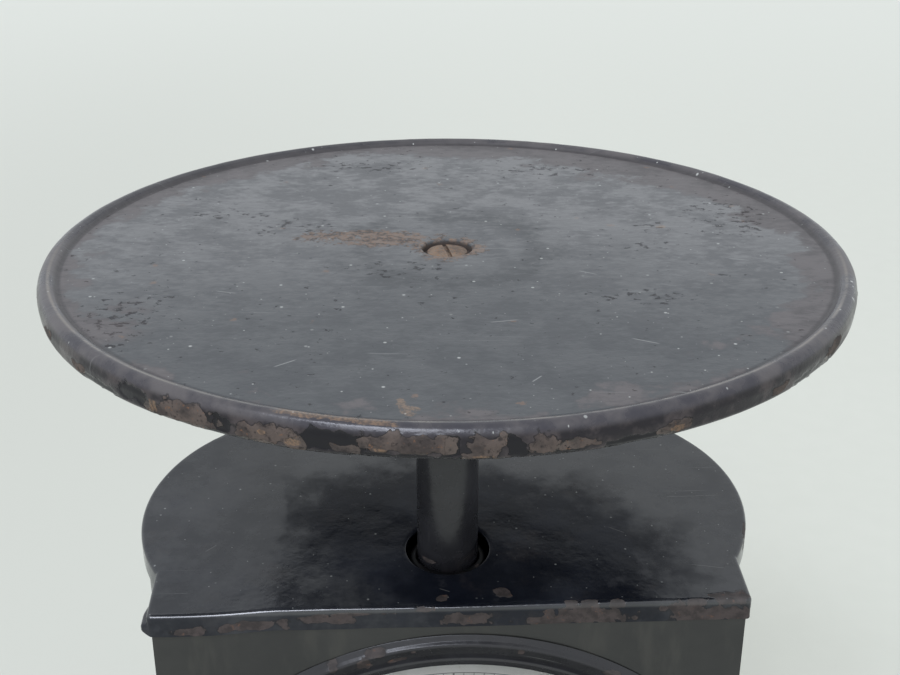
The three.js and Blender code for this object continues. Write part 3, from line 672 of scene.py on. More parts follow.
def machined(name, base, stained, rough):
    """Bare working metal, lightly stained, with a fine tooling grain."""
    f = Finish(name)
    cloud = f.noise(0.012, 5.0, 0.65)
    lay = f.noise(0.0006, 3.0, 0.5, f.stretched((1, 1, 0.08)))
    colour = f.blend(f.ramp(cloud, 0.42, 0.68), base, stained)
    roughness = f.ramp(cloud, 0.3, 0.7, rough, rough + 0.22) + lay * 0.08
    metal = f.ramp(cloud, 0.45, 0.75, 1.0, 0.55)
    return f.done(colour, roughness, f.bump(lay + cloud * 0.5, 0.00008), metal)


def rubber():
    f = Finish("rubber")
    grain = f.noise(0.0008, 3.0, 0.6)
    dust = f.noise(0.008, 5.0, 0.6)
    colour = f.blend(f.ramp(dust, 0.45, 0.7), (0.014, 0.014, 0.014), (0.05, 0.048, 0.045))
    return f.done(colour, f.ramp(dust, 0.3, 0.7, 0.62, 0.85), f.bump(grain, 0.00012))


def pointer_black():
    f = Finish("pointer_black")
    cloud = f.noise(0.01, 4.0, 0.6)
    colour = f.blend(f.ramp(cloud, 0.45, 0.7), (0.012, 0.012, 0.014), (0.035, 0.03, 0.028))
    return f.done(colour, f.ramp(cloud, 0.3, 0.7, 0.25, 0.42), f.bump(f.noise(0.0008), 0.00005))


def clear_glass():
    f = Finish("clear_glass")
    smear = f.noise(0.03, 5.0, 0.6, f.stretched((1, 1, 0.4)))
    colour = f.blend(f.ramp(smear, 0.4, 0.7), (0.97, 0.985, 0.98), (0.9, 0.92, 0.91))
    roughness = f.ramp(smear, 0.45, 0.75, 0.0, 0.06)
    return f.done(colour, roughness, f.bump(smear, 0.00002), Transmission_Weight=1.0, IOR=1.5)


def dial_print():
    """White enamel greyed towards its rim, with a scale arc and its divisions, worked out from polar
    coordinates.
    """
    f = Finish("dial_white")
    x, y, z = f.axes()
    across, up = x - DIAL_X, z - DIAL_Z
    radius = f.distance(across, up)
    turn = f.math("ARCTAN2", across, up) * (1 / TAU)

    def band(inner, outer):
        blur = 0.06 * MM
        return f.ramp(radius, inner - blur, inner + blur) * f.ramp(radius, outer + blur, outer - blur)

    def ticks(count, width, length):
        phase = f.math("FRACT", turn * count + (0.5 + 0.5 * count / DIVISIONS + 2 * count))
        off = abs(phase - 0.5) * radius * (TAU / count)
        line = f.ramp(off, width / 2 + 0.05 * MM, width / 2 - 0.05 * MM)
        return line * band(SCALE_RADIUS - length, SCALE_RADIUS)

    printed = f.most(
        band(SCALE_RADIUS, SCALE_RADIUS + 0.35 * MM),
        band(SCALE_RADIUS - 9.2 * MM, SCALE_RADIUS - 8.9 * MM))
    for count, width, length in (
            (DIVISIONS, 0.3, 3.4), (DIVISIONS // 5, 0.45, 5.6), (DIVISIONS // 20, 0.7, 8.9)):
        printed = f.most(printed, ticks(count, width * MM, length * MM))
    cloud = f.noise(0.03, 5.0, 0.6)
    spots_of_age = f.ramp(f.noise(0.004, 4.0, 0.65), 0.66, 0.74)
    colour = f.blend(f.ramp(cloud, 0.35, 0.7), (0.64, 0.6, 0.597), (0.54, 0.503, 0.486))
    colour = f.blend(spots_of_age * 0.5, colour, (0.3, 0.24, 0.17))
    # greyer towards the rim
    colour = f.blend(f.ramp(radius, 0.0935, 0.0965, 0.0, 0.3), colour, (0.42, 0.43, 0.42))
    colour = f.blend(printed * 0.85, colour, (0.035, 0.036, 0.045))
    return f.done(colour, f.ramp(cloud, 0.3, 0.7, 0.3, 0.45), f.bump(cloud, 0.0001))


def floor_card():
    """Pale card, a little brighter far away where a studio sweep would catch more light."""
    f = Finish("floor_card")
    x, y, z = f.axes()
    fibre = f.noise(0.02, 4.0, 0.5)
    away = f.ramp(f.distance(x, y), 0.2, 3.2)
    near = f.blend(f.ramp(fibre, 0.3, 0.7), (0.655, 0.662, 0.6), (0.665, 0.672, 0.61))
    # painted shade: the card is darker towards the left
    near = f.blend(f.ramp(x, 0.3, -0.5), near, (0.585, 0.59, 0.535))
    colour = f.blend(away, near, (0.81, 0.82, 0.765))
    return f.done(colour, f.ramp(fibre, 0.3, 0.7, 0.9, 0.95))


PLATE_PAINT = plate_paint()
ROOF_PAINT = gloss_paint("roof_paint", (0.006, 0.0075, 0.0125), 0.3, (0.14, 0.3), roof=True)
CASE_PAINT = gloss_paint("case_paint", (0.009, 0.0095, 0.012), 0.5, (0.2, 0.38))
BEZEL_PAINT = gloss_paint("bezel_paint", (0.008, 0.008, 0.01), 0.4, (0.2, 0.36), bezel=True)
POST_PAINT = gloss_paint("post_paint", (0.011, 0.011, 0.0135), 0.3, (0.2, 0.34), 0.3, level=0.5)
COLLAR_PAINT = gloss_paint("collar_paint", (0.004, 0.004, 0.005), 0.2, (0.45, 0.6), 0.1, level=0.12)
BASE_PAINT = gloss_paint("base_paint", (0.014, 0.014, 0.016), 0.7, (0.32, 0.5))
PANEL_PAINT = panel_paint()
RUSTY_STEEL = rusty_steel()
STEEL = machined("steel", (0.42, 0.42, 0.43), (0.19, 0.16, 0.14), 0.3)
BRASS = machined("brass", (0.5, 0.36, 0.15), (0.2, 0.14, 0.075), 0.3)
DIAL_WHITE = dial_print()
POINTER_BLACK = pointer_black()
GLASS = clear_glass()
RUBBER = rubber()


# ---- the plate ----

# angle and half width in degrees round the plate, height and half height in mm about its top
RIM_SCALE = [
    (-152, -3.6, 2.2, 1.6), (-141, -4.6, 1.6, 1.6), (-121.3, -3.9, 4.9, 3.2), (-111.2, -4.0, 3.6, 3.1),
    (-106.9, -4.4, 1.3, 2.9), (-101.1, -5.2, 1.6, 1.2), (-93.7, -2.9, 5.5, 2.5), (-85.9, -3.9, 2.4, 3.5),
    (-79.3, -3.4, 2.5, 2.6), (-74.6, -4.6, 1.5, 1.3), (-63.7, -5.0, 2.2, 1.8), (-47.5, -4.8, 1.8, 1.3),
    (-33, -3.4, 2.6, 2.2), (-12, -4.4, 3.5, 2.0), (14, -2.4, 2.0, 1.4), (37, -4.0, 5.0, 2.6),
    (66, -3.0, 2.4, 2.0), (83, -4.4, 4.2, 2.4), (112, -3.4, 3.0, 2.6), (139, -4.4, 5.6, 2.4),
    (166, -2.8, 2.4, 1.8), (-168, -4.2, 3.4, 2.3),
]
RIM_BARE = [
    (-129, -3.2, 3.2, 2.8), (-115.4, -3.6, 1.5, 2.6), (-102.6, -3.4, 4.4, 2.9), (-94.5, -7.0, 6.4, 1.4),
    (-117, -7.2, 8, 1.2), (-89.2, -3.2, 0.8, 3), (-82.4, -4.2, 1.3, 3.4), (-77, -5.2, 1.3, 1.8),
    (-68, -6.4, 4, 1.6), (-40, -6.0, 6, 1.6), (-136, -6.2, 4, 1.6), (50, -4.0, 5, 2.4), (98, -5.0, 6, 2.0),
    (152, -4.0, 4, 2.0),
]
RIM_GLOW = [
    (-104.5, 1.9, 6.0, 0.55), (-98, 1.7, 2.6, 0.5), (-125.4, -4.2, 0.8, 2.4), (-110.4, -3.6, 0.5, 0.7),
    (-107, -5, 0.9, 1.0), (-86, -6.4, 1.4, 0.6), (-63.7, -5.4, 1.2, 0.9), (-97, -4.9, 0.8, 0.5),
]


def rib_depth(radius):
    return np.interp(radius, [14 * MM, 22 * MM, 118 * MM, 122 * MM], [9.4 * MM, 8.6 * MM, 2.6 * MM, 0])


def build_plate():
    """Turned casting with six ribs underneath. Chips take a thin step off the rim's paint."""
    bore = 3.4 * MM
    top = rounded([
        (bore, -RECESS_DEPTH, 0), (RECESS_RADIUS, -RECESS_DEPTH, 0.5 * MM), (RECESS_RADIUS, 0, 0.8 * MM),
        (40 * MM, 0, 0),
    ])
    flat = spaced(np.array([[40 * MM, 0], [120 * MM, 0]]), 4 * MM)
    rim = rounded([
        (120 * MM, 0, 0), (123.6 * MM, 0, 1.2 * MM), (124.9 * MM, 1.3 * MM, 1.2 * MM),
        (126.7 * MM, RIM_RISE, 3 * MM), (128.6 * MM, 1.3 * MM, 3 * MM), (129.6 * MM, -0.4 * MM, 3 * MM),
        (PLATE_RADIUS, -2.8 * MM, 4 * MM), (129.6 * MM, -6.8 * MM, 2 * MM), (128 * MM, -8 * MM, 1.2 * MM),
        (125.6 * MM, -5.6 * MM, 2 * MM), (123.4 * MM, -PLATE_SHEET, 2 * MM), (118 * MM, -PLATE_SHEET, 0),
    ])
    under = spaced(np.array([[118 * MM, -PLATE_SHEET], [19 * MM, -PLATE_SHEET]]), 2 * MM)
    boss = rounded([
        (19 * MM, -PLATE_SHEET, 0), (17.4 * MM, -5.4 * MM, 2 * MM), (16 * MM, -15.2 * MM, 1.5 * MM),
        (15 * MM, -16 * MM, 0.6 * MM), (bore, -16 * MM, 0.3 * MM), (bore, -RECESS_DEPTH, 0),
    ])
    profile = np.vstack([top, flat[1:-1], spaced(rim, 0.4 * MM), under[1:-1], spaced(boss, 1.5 * MM)[:-1]])
    points = turned(profile, 1200, (0, 0))
    angle = np.arctan2(points[..., 1], points[..., 0])
    radius = np.hypot(points[..., 0], points[..., 1])
    height = points[..., 2].copy()
    spread = TAU / RIBS
    nearest = np.abs(angle % spread - spread / 2)
    from_rib = radius * np.sin(nearest)
    below = (height < -4.2 * MM) & (radius < 123 * MM) & (radius > 15.9 * MM)
    points[..., 2] -= np.where(below, rib_depth(radius) * smooth(from_rib, 2.6 * MM, 1.3 * MM), 0)
    points[..., 2] = np.where(below, np.maximum(points[..., 2], -15.6 * MM), points[..., 2])
    flat_points = points.reshape(-1, 3)
    ragged = fractal(flat_points, 4 * MM, 5) * 0.7
    degrees = (np.degrees(angle + VIEW_TURN).ravel() + 180) % 360 - 180
    tall = height.ravel() / MM
    on_rim = radius.ravel() > 122.5 * MM
    wall = on_rim & (tall < 1.0)
    flake = np.where(wall, spots(degrees, tall, RIM_SCALE) + ragged, -1)
    bare = np.where(wall, spots(degrees, tall, RIM_BARE) + ragged * 0.8, -1)
    glow = np.where(on_rim, spots(degrees, tall, RIM_GLOW) + ragged * 0.6, -1)
    seen_x, seen_y = rotated(flat_points, VIEW_TURN)
    spill = spots(
        seen_x / MM, seen_y / MM, [(-8.9, -117.3, 3.4, 2.6), (72.6, 20.5, 1.5, 1.3), (-12, -112, 1.6, 1.0)])
    glow = np.maximum(glow, np.where(tall > -0.5, spill + ragged * 0.9, -1))
    points[..., 2] += PLATE_TOP
    mesh = ring_mesh("plate_casting", points, loop=True)
    mark(mesh, "flake", flake)
    mark(mesh, "glow", glow)
    mark(mesh, "bare", bare)
    settle(mesh, 50)
    swell = np.abs(fractal(coordinates(mesh), 18 * MM, 3, 5.0)) * 0.1 * MM
    worn_off = smooth(bare, 0.0, 0.12) * 0.22 * MM + (1 - smooth(flake, -0.02, 0.06)) * 0.1 * MM
    push(mesh, -(swell + worn_off) * on_rim)
    return piece("plate_casting", mesh, "platform", "cast_iron_paint", PLATE_PAINT, "plate")


def screw_mesh(head_radius, head_height, shank_radius, length, slot_turn=0.0, dome=0.45):
    """Slotted screw about Z with its seat at z = 0."""
    crown = head_height * (1 - dome)
    profile = rounded([
        (0, -length, 0), (shank_radius, -length, 0.3 * MM), (shank_radius, 0.15 * MM, 0),
        (head_radius, 0.15 * MM, 0.15 * MM), (head_radius, crown, head_height * dome),
        (head_radius * 0.45, head_height, head_radius * 0.5), (0, head_height, 0),
    ])
    mesh = settle(ring_mesh("screw", turned(profile, 64, (0, 0))), 40)
    half = head_radius * 0.085 + 0.12 * MM
    slot = box_mesh(
        (-head_radius * 1.1, -half, head_height * 0.45), (head_radius * 1.1, half, head_height * 2))
    mesh = carved(mesh, [slot])
    co = coordinates(mesh)
    mesh.vertices.foreach_set("co", np.stack([*rotated(co, slot_turn), co[:, 2]], -1).ravel())
    mesh.update()
    return settle(mesh, 30)


def aimed(mesh, direction, place):
    """Turns a mesh made about Z to point along direction, with its origin at place."""
    turn = Vector((0, 0, 1)).rotation_difference(Vector(direction)).to_matrix().to_4x4()
    turn.translation = place
    mesh.transform(turn)
    return mesh


def add_screws():
    low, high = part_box("plate_screw")
    seat = PLATE_TOP - RECESS_DEPTH
    mesh = aimed(screw_mesh(high.x, high.z - seat, 3 * MM, 30 * MM, -1.42, 0.2), (0, 0, 1), (0, 0, seat))
    piece("plate_screw_slotted", mesh, "platform", "rusty_steel", RUSTY_STEEL, "plate_screw")
    outward = {
        "back_screw_1": (0, 1, 0), "back_screw_2": (0, 1, 0), "back_screw_3": (0, 1, 0),
        "back_screw_4": (0, 1, 0), "case_screw_right": (1, 0, 0), "case_screw_left": (-1, 0, 0),
        "case_screw_front_right": (0, -1, 0), "case_screw_front_left": (0, -1, 0),
    }
    for k, (node, direction) in enumerate(outward.items()):
        low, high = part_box(node)
        middle = (low + high) / 2
        way = Vector(direction)
        back = node.startswith("back")
        head, shank, length = (2.2 * MM, 1.6 * MM, 5 * MM) if back else (2.4 * MM, 1.9 * MM, 7 * MM)
        wide = (high.z - low.z) / 2
        tip = Vector([h if d > 0 else l if d < 0 else m for h, l, d, m in zip(high, low, way, middle)])
        mesh = aimed(screw_mesh(wide, head, shank, length, 0.6 + 1.3 * k), way, tip - way * head)
        piece(node + "_slotted", mesh, "root", "rusty_steel", RUSTY_STEEL, node)


# ---- the body's outline ----


def half_outline():
    """Points and outward normals of the body's right half seen from above, front middle to back middle."""
    corner, notch = 1.8 * MM, 1.0 * MM
    points, normals = [], []

    def line(start, end, normal, count):
        for t in np.linspace(0, 1, count, endpoint=False):
            points.append(np.array(start) * (1 - t) + np.array(end) * t)
            normals.append(np.array(normal, float))

    def arc(centre, radius, start, end, count, out=1):
        for angle in np.linspace(start, end, count, endpoint=False):
            way = np.array([math.cos(angle), math.sin(angle)])
            points.append(np.array(centre) + way * radius)
            normals.append(way * out)

    notch_x = HALF_WIDTH + notch
    notch_y = LOBE_Y - math.sqrt((LOBE_RADIUS + notch) ** 2 - (notch_x - LOBE_X) ** 2)
    to_lobe = math.atan2(LOBE_Y - notch_y, LOBE_X - notch_x)
    line((0, BODY_FRONT), (HALF_WIDTH - corner, BODY_FRONT), (0, -1), 140)
    arc((HALF_WIDTH - corner, BODY_FRONT + corner), corner, -TAU / 4, 0, 6)
    line((HALF_WIDTH, BODY_FRONT + corner), (HALF_WIDTH, notch_y), (1, 0), 22)
    arc((notch_x, notch_y), notch, TAU / 2, to_lobe, 5, -1)
    arc((LOBE_X, LOBE_Y), LOBE_RADIUS, to_lobe - TAU / 2, TAU / 4, 130)
    line((LOBE_X, LOBE_Y + LOBE_RADIUS), (0, LOBE_Y + LOBE_RADIUS), (0, 1), 30)
    points.append(np.array([0, LOBE_Y + LOBE_RADIUS]))
    normals.append(np.array([0.0, 1.0]))
    return np.array(points), np.array(normals)


def body_outline():
    """The whole outline, anticlockwise from the front middle."""
    points, normals = half_outline()
    mirror = np.array([-1, 1])
    return np.vstack([points, points[-2:0:-1] * mirror]), np.vstack([normals, normals[-2:0:-1] * mirror])


# ---- roof cover ----

ROOF_CHIPS = [
    # x, distance back from the front edge (negative on the lip), half width and half depth in mm
    (45.5, -4.6, 14, 3.8), (38, -6.8, 14, 1.8), (41, 0.6, 1.8, 1.0), (48, 0.8, 3.0, 1.3),
    (57, 0.6, 3.0, 1.3), (90, -4.8, 15, 4.2), (98, 1.8, 7, 3.0), (86, 0.2, 4, 0.8), (6, -4.6, 9, 3.2),
    (-44, -3.4, 8, 1.8), (-9, 0.0, 3, 0.7), (-70, -5.0, 14, 2.2), (-90, -6, 9, 1.8), (18.6, 6.5, 3.0, 2.4),
    (-33, -1.0, 12, 0.7), (-3, 4.6, 2.0, 1.5),
]


def roof_drop(x, y):
    """Height of the worn roof above its level at the post: slope, a shallow fold on the left, a dent."""
    past = CREASE_X - np.maximum(y - 20 * MM, 0) * 0.16 - x
    soft = 1.2 * MM
    fold = np.logaddexp(0, past / soft) - np.logaddexp(0, (past - 17 * MM) / (5 * MM)) * 5 * MM / soft
    dent = np.exp(-((x + 40 * MM) ** 2 + (y - 5 * MM) ** 2) / (26 * MM) ** 2) * 0.4 * MM
    return y * ROOF_SLOPE - CREASE_SLOPE * soft * fold - dent


def build_roof():
    """One pressed sheet: a star of rings from the post's hole to the outline, rolled over into the lip."""
    outline, normals = body_outline()
    edge = outline - normals * EDGE_ROLL
    hole_turn = np.arctan2(edge[:, 1], edge[:, 0])
    hole_way = np.stack([np.cos(hole_turn), np.sin(hole_turn)], -1)
    rings, levels, travelled = [], [], []

    def ring(points, level, along):
        rings.append(points)
        levels.append(np.full(len(points), level))
        travelled.append(np.full(len(points), along))

    turned_in = 0.5 * MM
    ring(hole_way * ROOF_HOLE, -LIP_SHEET, 60)
    for t in np.linspace(0, 1, 4):
        drop = turned_in * (1 - math.sin(t * TAU / 4))
        ring(hole_way * (ROOF_HOLE + turned_in * (1 - math.cos(t * TAU / 4))), -drop, 60)
    start = hole_way * (ROOF_HOLE + turned_in)
    for t in np.linspace(0, 1, 76)[1:]:
        ring(start + (edge - start) * t, 0, 60)
    for t in np.linspace(0, 1, 7)[1:]:
        inset = EDGE_ROLL * (1 - math.sin(t * TAU / 4))
        ring(
            outline - normals * inset, -EDGE_ROLL * (1 - math.cos(t * TAU / 4)),
            EDGE_ROLL / MM * (1 - t) * 0.6)
    for t in np.linspace(0, 1, 9)[1:]:
        ring(outline, -EDGE_ROLL - (LIP - EDGE_ROLL) * t, -LIP / MM * t)
    ring(outline - normals * LIP_SHEET * 0.5, -LIP - 0.15 * MM, -9)
    for t in np.linspace(1, 0, 6):
        ring(outline - normals * LIP_SHEET, -EDGE_ROLL - (LIP - EDGE_ROLL) * t, -9)
    for t in np.linspace(1, 0, 40)[:-1]:
        ring(start + (outline - normals * (LIP_SHEET + 0.5 * MM) - start) * t, -LIP_SHEET, 60)
    flat = np.stack(rings)
    x, y = flat[..., 0], flat[..., 1]
    level = np.stack(levels)
    along = np.stack(travelled)
    spots_along = np.where(along > 40, (y - BODY_FRONT) / MM, np.where(y < BODY_FRONT + 3 * MM, along, 60))
    points = np.dstack([x, y, ROOF_Z + level + roof_drop(x, y)])
    flat_points = points.reshape(-1, 3)
    coarse = fractal(flat_points, 55 * MM, 3, 2.0).reshape(x.shape)
    points[..., 2] += coarse * 0.35 * MM
    lip_share = np.clip(-(level + EDGE_ROLL) / (LIP - EDGE_ROLL), 0, 1) * (along < 40)
    side_wall = np.clip(-normals[:, 0], 0, 1)[None, :]
    hooked = smooth(-y, 14 * MM, 26 * MM) * side_wall ** 6 * smooth(lip_share, 0.3, 0.75)
    points[..., 0] -= hooked * 2.1 * MM
    points[..., 2] += hooked * 1.6 * MM
    wavy = fractal(flat_points, 22 * MM, 3, 8.0).reshape(x.shape)
    points[..., 1] += wavy * lip_share * 0.3 * MM
    ragged = fractal(flat_points, 4.5 * MM, 5, 3.0) * 0.65
    flake = spots(x.ravel() / MM, spots_along.ravel(), ROOF_CHIPS) + ragged
    worn = fractal(flat_points, 16 * MM, 5, 6.0).reshape(x.shape) * 2 - 0.72
    side = np.where((np.abs(x) > 30 * MM) & (y > 0) & (along < 3), worn, -1)
    flake = np.maximum(flake, side.ravel())
    mesh = ring_mesh("roof_cover_sheet", points, loop=True)
    mark(mesh, "flake", flake)
    settle(mesh, 50)
    push(mesh, -smooth(flake, -0.01, 0.1) * 0.12 * MM)
    return piece("roof_cover_sheet", mesh, "root", "gloss_paint", ROOF_PAINT, "roof_cover")


# ---- front panel, bezel, dial ----


def build_panel():
    """Flat sheet from the dial window out to a rectangle joined with the dial's own round."""
    half = HALF_WIDTH - CASE_INSET
    top = ROOF_Z + BODY_FRONT * ROOF_SLOPE - 6.4 * MM
    front, back = panel_low.y, panel_low.y + SHEET
    left, right = -half - DIAL_X, half - DIAL_X
    low, high = panel_low.z - DIAL_Z, top - DIAL_Z
    corners = [math.atan2(z, x) for x in (left, right) for z in (low, high)]
    turns = np.sort(np.concatenate([np.linspace(-math.pi, math.pi, 900, endpoint=False), corners]))
    way = np.stack([np.cos(turns), np.sin(turns)], -1)
    sideways = np.where(way[:, 0] > 0, right, left) / np.where(np.abs(way[:, 0]) < 1e-9, 1e-9, way[:, 0])
    upright = np.where(way[:, 1] > 0, high, low) / np.where(np.abs(way[:, 1]) < 1e-9, 1e-9, way[:, 1])
    reach = np.maximum(np.minimum(sideways, upright), BEZEL_RADIUS)
    rings = []
    shares = np.concatenate([np.linspace(0, 1, 30), np.linspace(1, 0, 4)])
    depths = [front] * 30 + [back] * 4
    for share, depth in zip(shares, depths):
        radius = WINDOW_RADIUS + (reach - WINDOW_RADIUS) * share
        level = np.full(len(radius), depth)
        rings.append(np.stack([DIAL_X + way[:, 0] * radius, level, DIAL_Z + way[:, 1] * radius], -1))
    points = np.stack(rings)
    flat_points = points.reshape(-1, 3)
    points[..., 1] += fractal(flat_points, 45 * MM, 3, 4.0).reshape(points.shape[:2]) * 0.22 * MM
    places = [(97, 216, 1.2, 8), (-97, 232, 1.0, 5),
              (-99, 170, 1.2, 26), (98, 60, 2.4, 20), (-84, 34, 12, 4), (72, 31, 14, 2.6)]
    ragged = fractal(flat_points, 6 * MM, 5, 1.0) * 0.6
    mesh = ring_mesh("front_panel_sheet", points, loop=True)
    mark(mesh, "flake", spots(flat_points[:, 0] / MM, flat_points[:, 2] / MM, places) + ragged)
    settle(mesh, 40)
    return piece("front_panel_sheet", mesh, "root", "panel_paint", PANEL_PAINT, "front_panel")


def build_bezel():
    """Pressed ring: outer shoulder, ridge, dark inner slope, a thin step and the flange in the window."""
    window, throat = WINDOW_RADIUS / MM - 0.3, WINDOW_RADIUS / MM - 1.5
    flange = 1.1
    section = np.array([
        (114.9, 0, 0.1), (112.9, -1.2, 0.5), (112.1, -2.1, 0.5), (111.3, -2.4, 0.5), (110.5, -2.1, 0.6),
        (107.2, -0.9, 0.8), (106.2, -0.9, 0.3), (105.5, -1.2, 0.3), (104.6, -1.1, 0.3), (102.6, -0.3, 0.5),
        (throat, -0.2, 0.2), (throat, flange, 0.3), (window, flange, 0.2), (window, 0, 0.1),
    ]) * MM
    profile = spaced(rounded(section.tolist(), closed=True), 0.5 * MM, closed=True)
    seat = bezel_high.y - flange * MM
    points = turned(profile + [0, seat], 900, (DIAL_X, DIAL_Z), "y")
    flat_points = points.reshape(-1, 3)
    angle = np.degrees(np.arctan2(flat_points[:, 2] - DIAL_Z, flat_points[:, 0] - DIAL_X))
    radius = np.hypot(flat_points[:, 2] - DIAL_Z, flat_points[:, 0] - DIAL_X) / MM
    places = [
        (104.9, 112.6, 1.7, 1.7), (107.7, 109.6, 1.5, 2.2), (113.2, 112.4, 1.3, 2.2),
        (101.8, 107.6, 2.2, 0.8), (78.9, 110.2, 0.6, 1.3), (98.5, 110.6, 0.4, 0.6), (121, 110, 3.5, 2.4),
        (131, 112, 1.6, 2), (61, 111, 2.2, 1.6), (150, 110, 4, 3), (30, 110, 2, 3), (8, 112, 5, 2),
        (-25, 110, 3, 3), (-60, 111, 6, 2.4), (-95, 109, 4, 3), (-130, 112, 5, 2.5), (178, 111, 3, 3),
    ]
    ragged = fractal(flat_points, 4 * MM, 5, 9.0) * 0.55
    flake = spots(angle, radius, places) + ragged
    mesh = ring_mesh("dial_bezel_ring", points, loop=True)
    mark(mesh, "flake", flake)
    settle(mesh, 50)
    push(mesh, -smooth(flake, -0.01, 0.1) * 0.12 * MM)
    return piece("dial_bezel_ring", mesh, "root", "gloss_paint", BEZEL_PAINT, "dial_bezel")


def build_pan():
    wall = 1.2 * MM
    outer = (pan_high.x - pan_low.x) / 2
    profile = rounded([
        (5 * MM, pan_high.y - wall, 0), (outer - wall, pan_high.y - wall, 1.2 * MM),
        (outer - wall, pan_low.y, 0), (outer, pan_low.y, 0), (outer, pan_high.y, 2.2 * MM),
        (5 * MM, pan_high.y, 0),
    ], closed=True)
    points = turned(spaced(profile, 3 * MM, True), 360, (DIAL_X, DIAL_Z), "y")
    mesh = settle(ring_mesh("dial_pan_drum", points, loop=True))
    weather(mesh, 14 * MM, 1.5, 0.5, 7.0)
    return piece("dial_pan_drum", mesh, "root", "gloss_paint", CASE_PAINT, "dial_pan")


def build_dial():
    front, back = face_low.y, face_high.y
    rim = (face_high.x - face_low.x) / 2
    profile = rounded([
        (4 * MM, front, 0), (rim, front, 0.2 * MM), (rim, back, 0.2 * MM), (4 * MM, back, 0),
    ], closed=True)
    points = turned(spaced(profile, 12 * MM, True), 240, (DIAL_X, DIAL_Z), "y")
    mesh = settle(ring_mesh("dial_face", points, loop=True))
    piece("dial_face", mesh, "root", "dial_white", DIAL_WHITE, "dial_plate")
    numerals = []
    for k in range(8):
        curve = bpy.data.curves.new("numeral", "FONT")
        curve.body = str(k)
        curve.size = 17 * MM
        curve.extrude = 0.03 * MM
        curve.align_x = "CENTER"
        curve.align_y = "CENTER"
        letter = bpy.data.objects.new("numeral", curve)
        bpy.context.scene.collection.objects.link(letter)
        turn = TAU * k / 8 + TAU / DIVISIONS / 2
        reach = SCALE_RADIUS - 20 * MM
        letter.location = (
            DIAL_X + math.sin(turn) * reach, front - 0.05 * MM, DIAL_Z + math.cos(turn) * reach)
        letter.rotation_euler = (TAU / 4, 0, 0)
        numerals.append(letter)
    bpy.context.view_layer.update()
    work = bmesh.new()
    for letter in numerals:
        flat = bpy.data.meshes.new_from_object(letter)
        flat.transform(letter.matrix_world)
        work.from_mesh(flat)
        bpy.data.objects.remove(letter)
    mesh = bpy.data.meshes.new("dial_numerals")
    work.to_mesh(mesh)
    work.free()
    return piece("dial_numerals", mesh, "root", "pointer_black", POINTER_BLACK)


# ---- post, collar, case, base, back ----


def build_post():
    radius = post_high.x
    profile = rounded([
        (0, post_low.z, 0), (radius, post_low.z, 0.6 * MM), (radius, post_high.z, 0.6 * MM),
        (0, post_high.z, 0),
    ])
    mesh = ring_mesh("post_bar", turned(spaced(profile, 2 * MM), 160, (0, 0)))
    points = coordinates(mesh)
    places = [(2.5, 318, 1.1, 0.7), (-3, 341, 1.2, 2.4), (-7, 272, 3.0, 1.2)]
    flake = np.where(points[:, 1] < 0, spots(points[:, 0] / MM, points[:, 2] / MM, places), -1)
    mark(mesh, "flake", flake + fractal(points, 5 * MM, 4, 3.0) * 0.5)
    settle(mesh)
    return piece("post_bar", mesh, "platform", "gloss_paint", POST_PAINT, "post")


def build_collar():
    outer = collar_high.x
    inner = post_high.x + 0.4 * MM
    profile = rounded([
        (inner, collar_low.z, 0), (outer, collar_low.z, 0.3 * MM), (outer, collar_high.z, 1.2 * MM),
        (inner, collar_high.z, 0.6 * MM),
    ], closed=True)
    mesh = settle(ring_mesh("guide_collar_bush", turned(profile, 128, (0, 0)), loop=True))
    mark(mesh, "flake", fractal(coordinates(mesh), 6 * MM, 4, 1.0) - 0.4)
    return piece("guide_collar_bush", mesh, "root", "gloss_paint", COLLAR_PAINT, "guide_collar")


def build_case():
    """Wrapped sheet open at the front, cut for the dial pan and the rear opening."""
    points, normals = half_outline()
    behind = points[:, 1] > panel_low.y + SHEET + 0.3 * MM
    points, normals = points[behind], normals[behind]
    start = np.array([[HALF_WIDTH, panel_low.y + SHEET + 0.3 * MM]])
    points, normals = np.vstack([start, points]), np.vstack([[[1.0, 0.0]], normals])
    mirror = np.array([-1, 1])
    points = np.vstack([points, points[-2::-1] * mirror])
    normals = np.vstack([normals, normals[-2::-1] * mirror])
    top = ROOF_Z + points[:, 1] * ROOF_SLOPE - 6.4 * MM
    section = []
    for inset in (CASE_INSET, CASE_INSET + SHEET):
        shares = np.linspace(0, 1, 30) if inset == CASE_INSET else np.linspace(1, 0, 30)
        for share in shares:
            level = case_low.z + (top - case_low.z) * share
            section.append(np.column_stack([points - normals * inset, level]))
    rings = np.stack(section, 1)
    mesh = settle(ring_mesh("case_shell_sheet", rings), 40, fill=True)
    hollow = fractal(coordinates(mesh), 60 * MM, 3, 6.0) * 0.35 * MM
    push(mesh, -np.abs(hollow))
    radius = (pan_high.x - pan_low.x) / 2 + 1 * MM
    behind = pan_high.y + 1 * MM
    drum_profile = np.array([[0, -60 * MM], [radius, -60 * MM], [radius, behind], [0, behind]])
    drum = settle(ring_mesh("cutter", turned(drum_profile, 240, (DIAL_X, DIAL_Z), "y")))
    window = box_mesh((-33 * MM, 80 * MM, 112 * MM), (33 * MM, 110 * MM, 218 * MM))
    mesh = settle(carved(mesh, [drum, window]), 40)
    weather(mesh, 12 * MM, 1.5, 0.75, 2.0)
    return piece("case_shell_sheet", mesh, "root", "gloss_paint", CASE_PAINT, "case_shell")


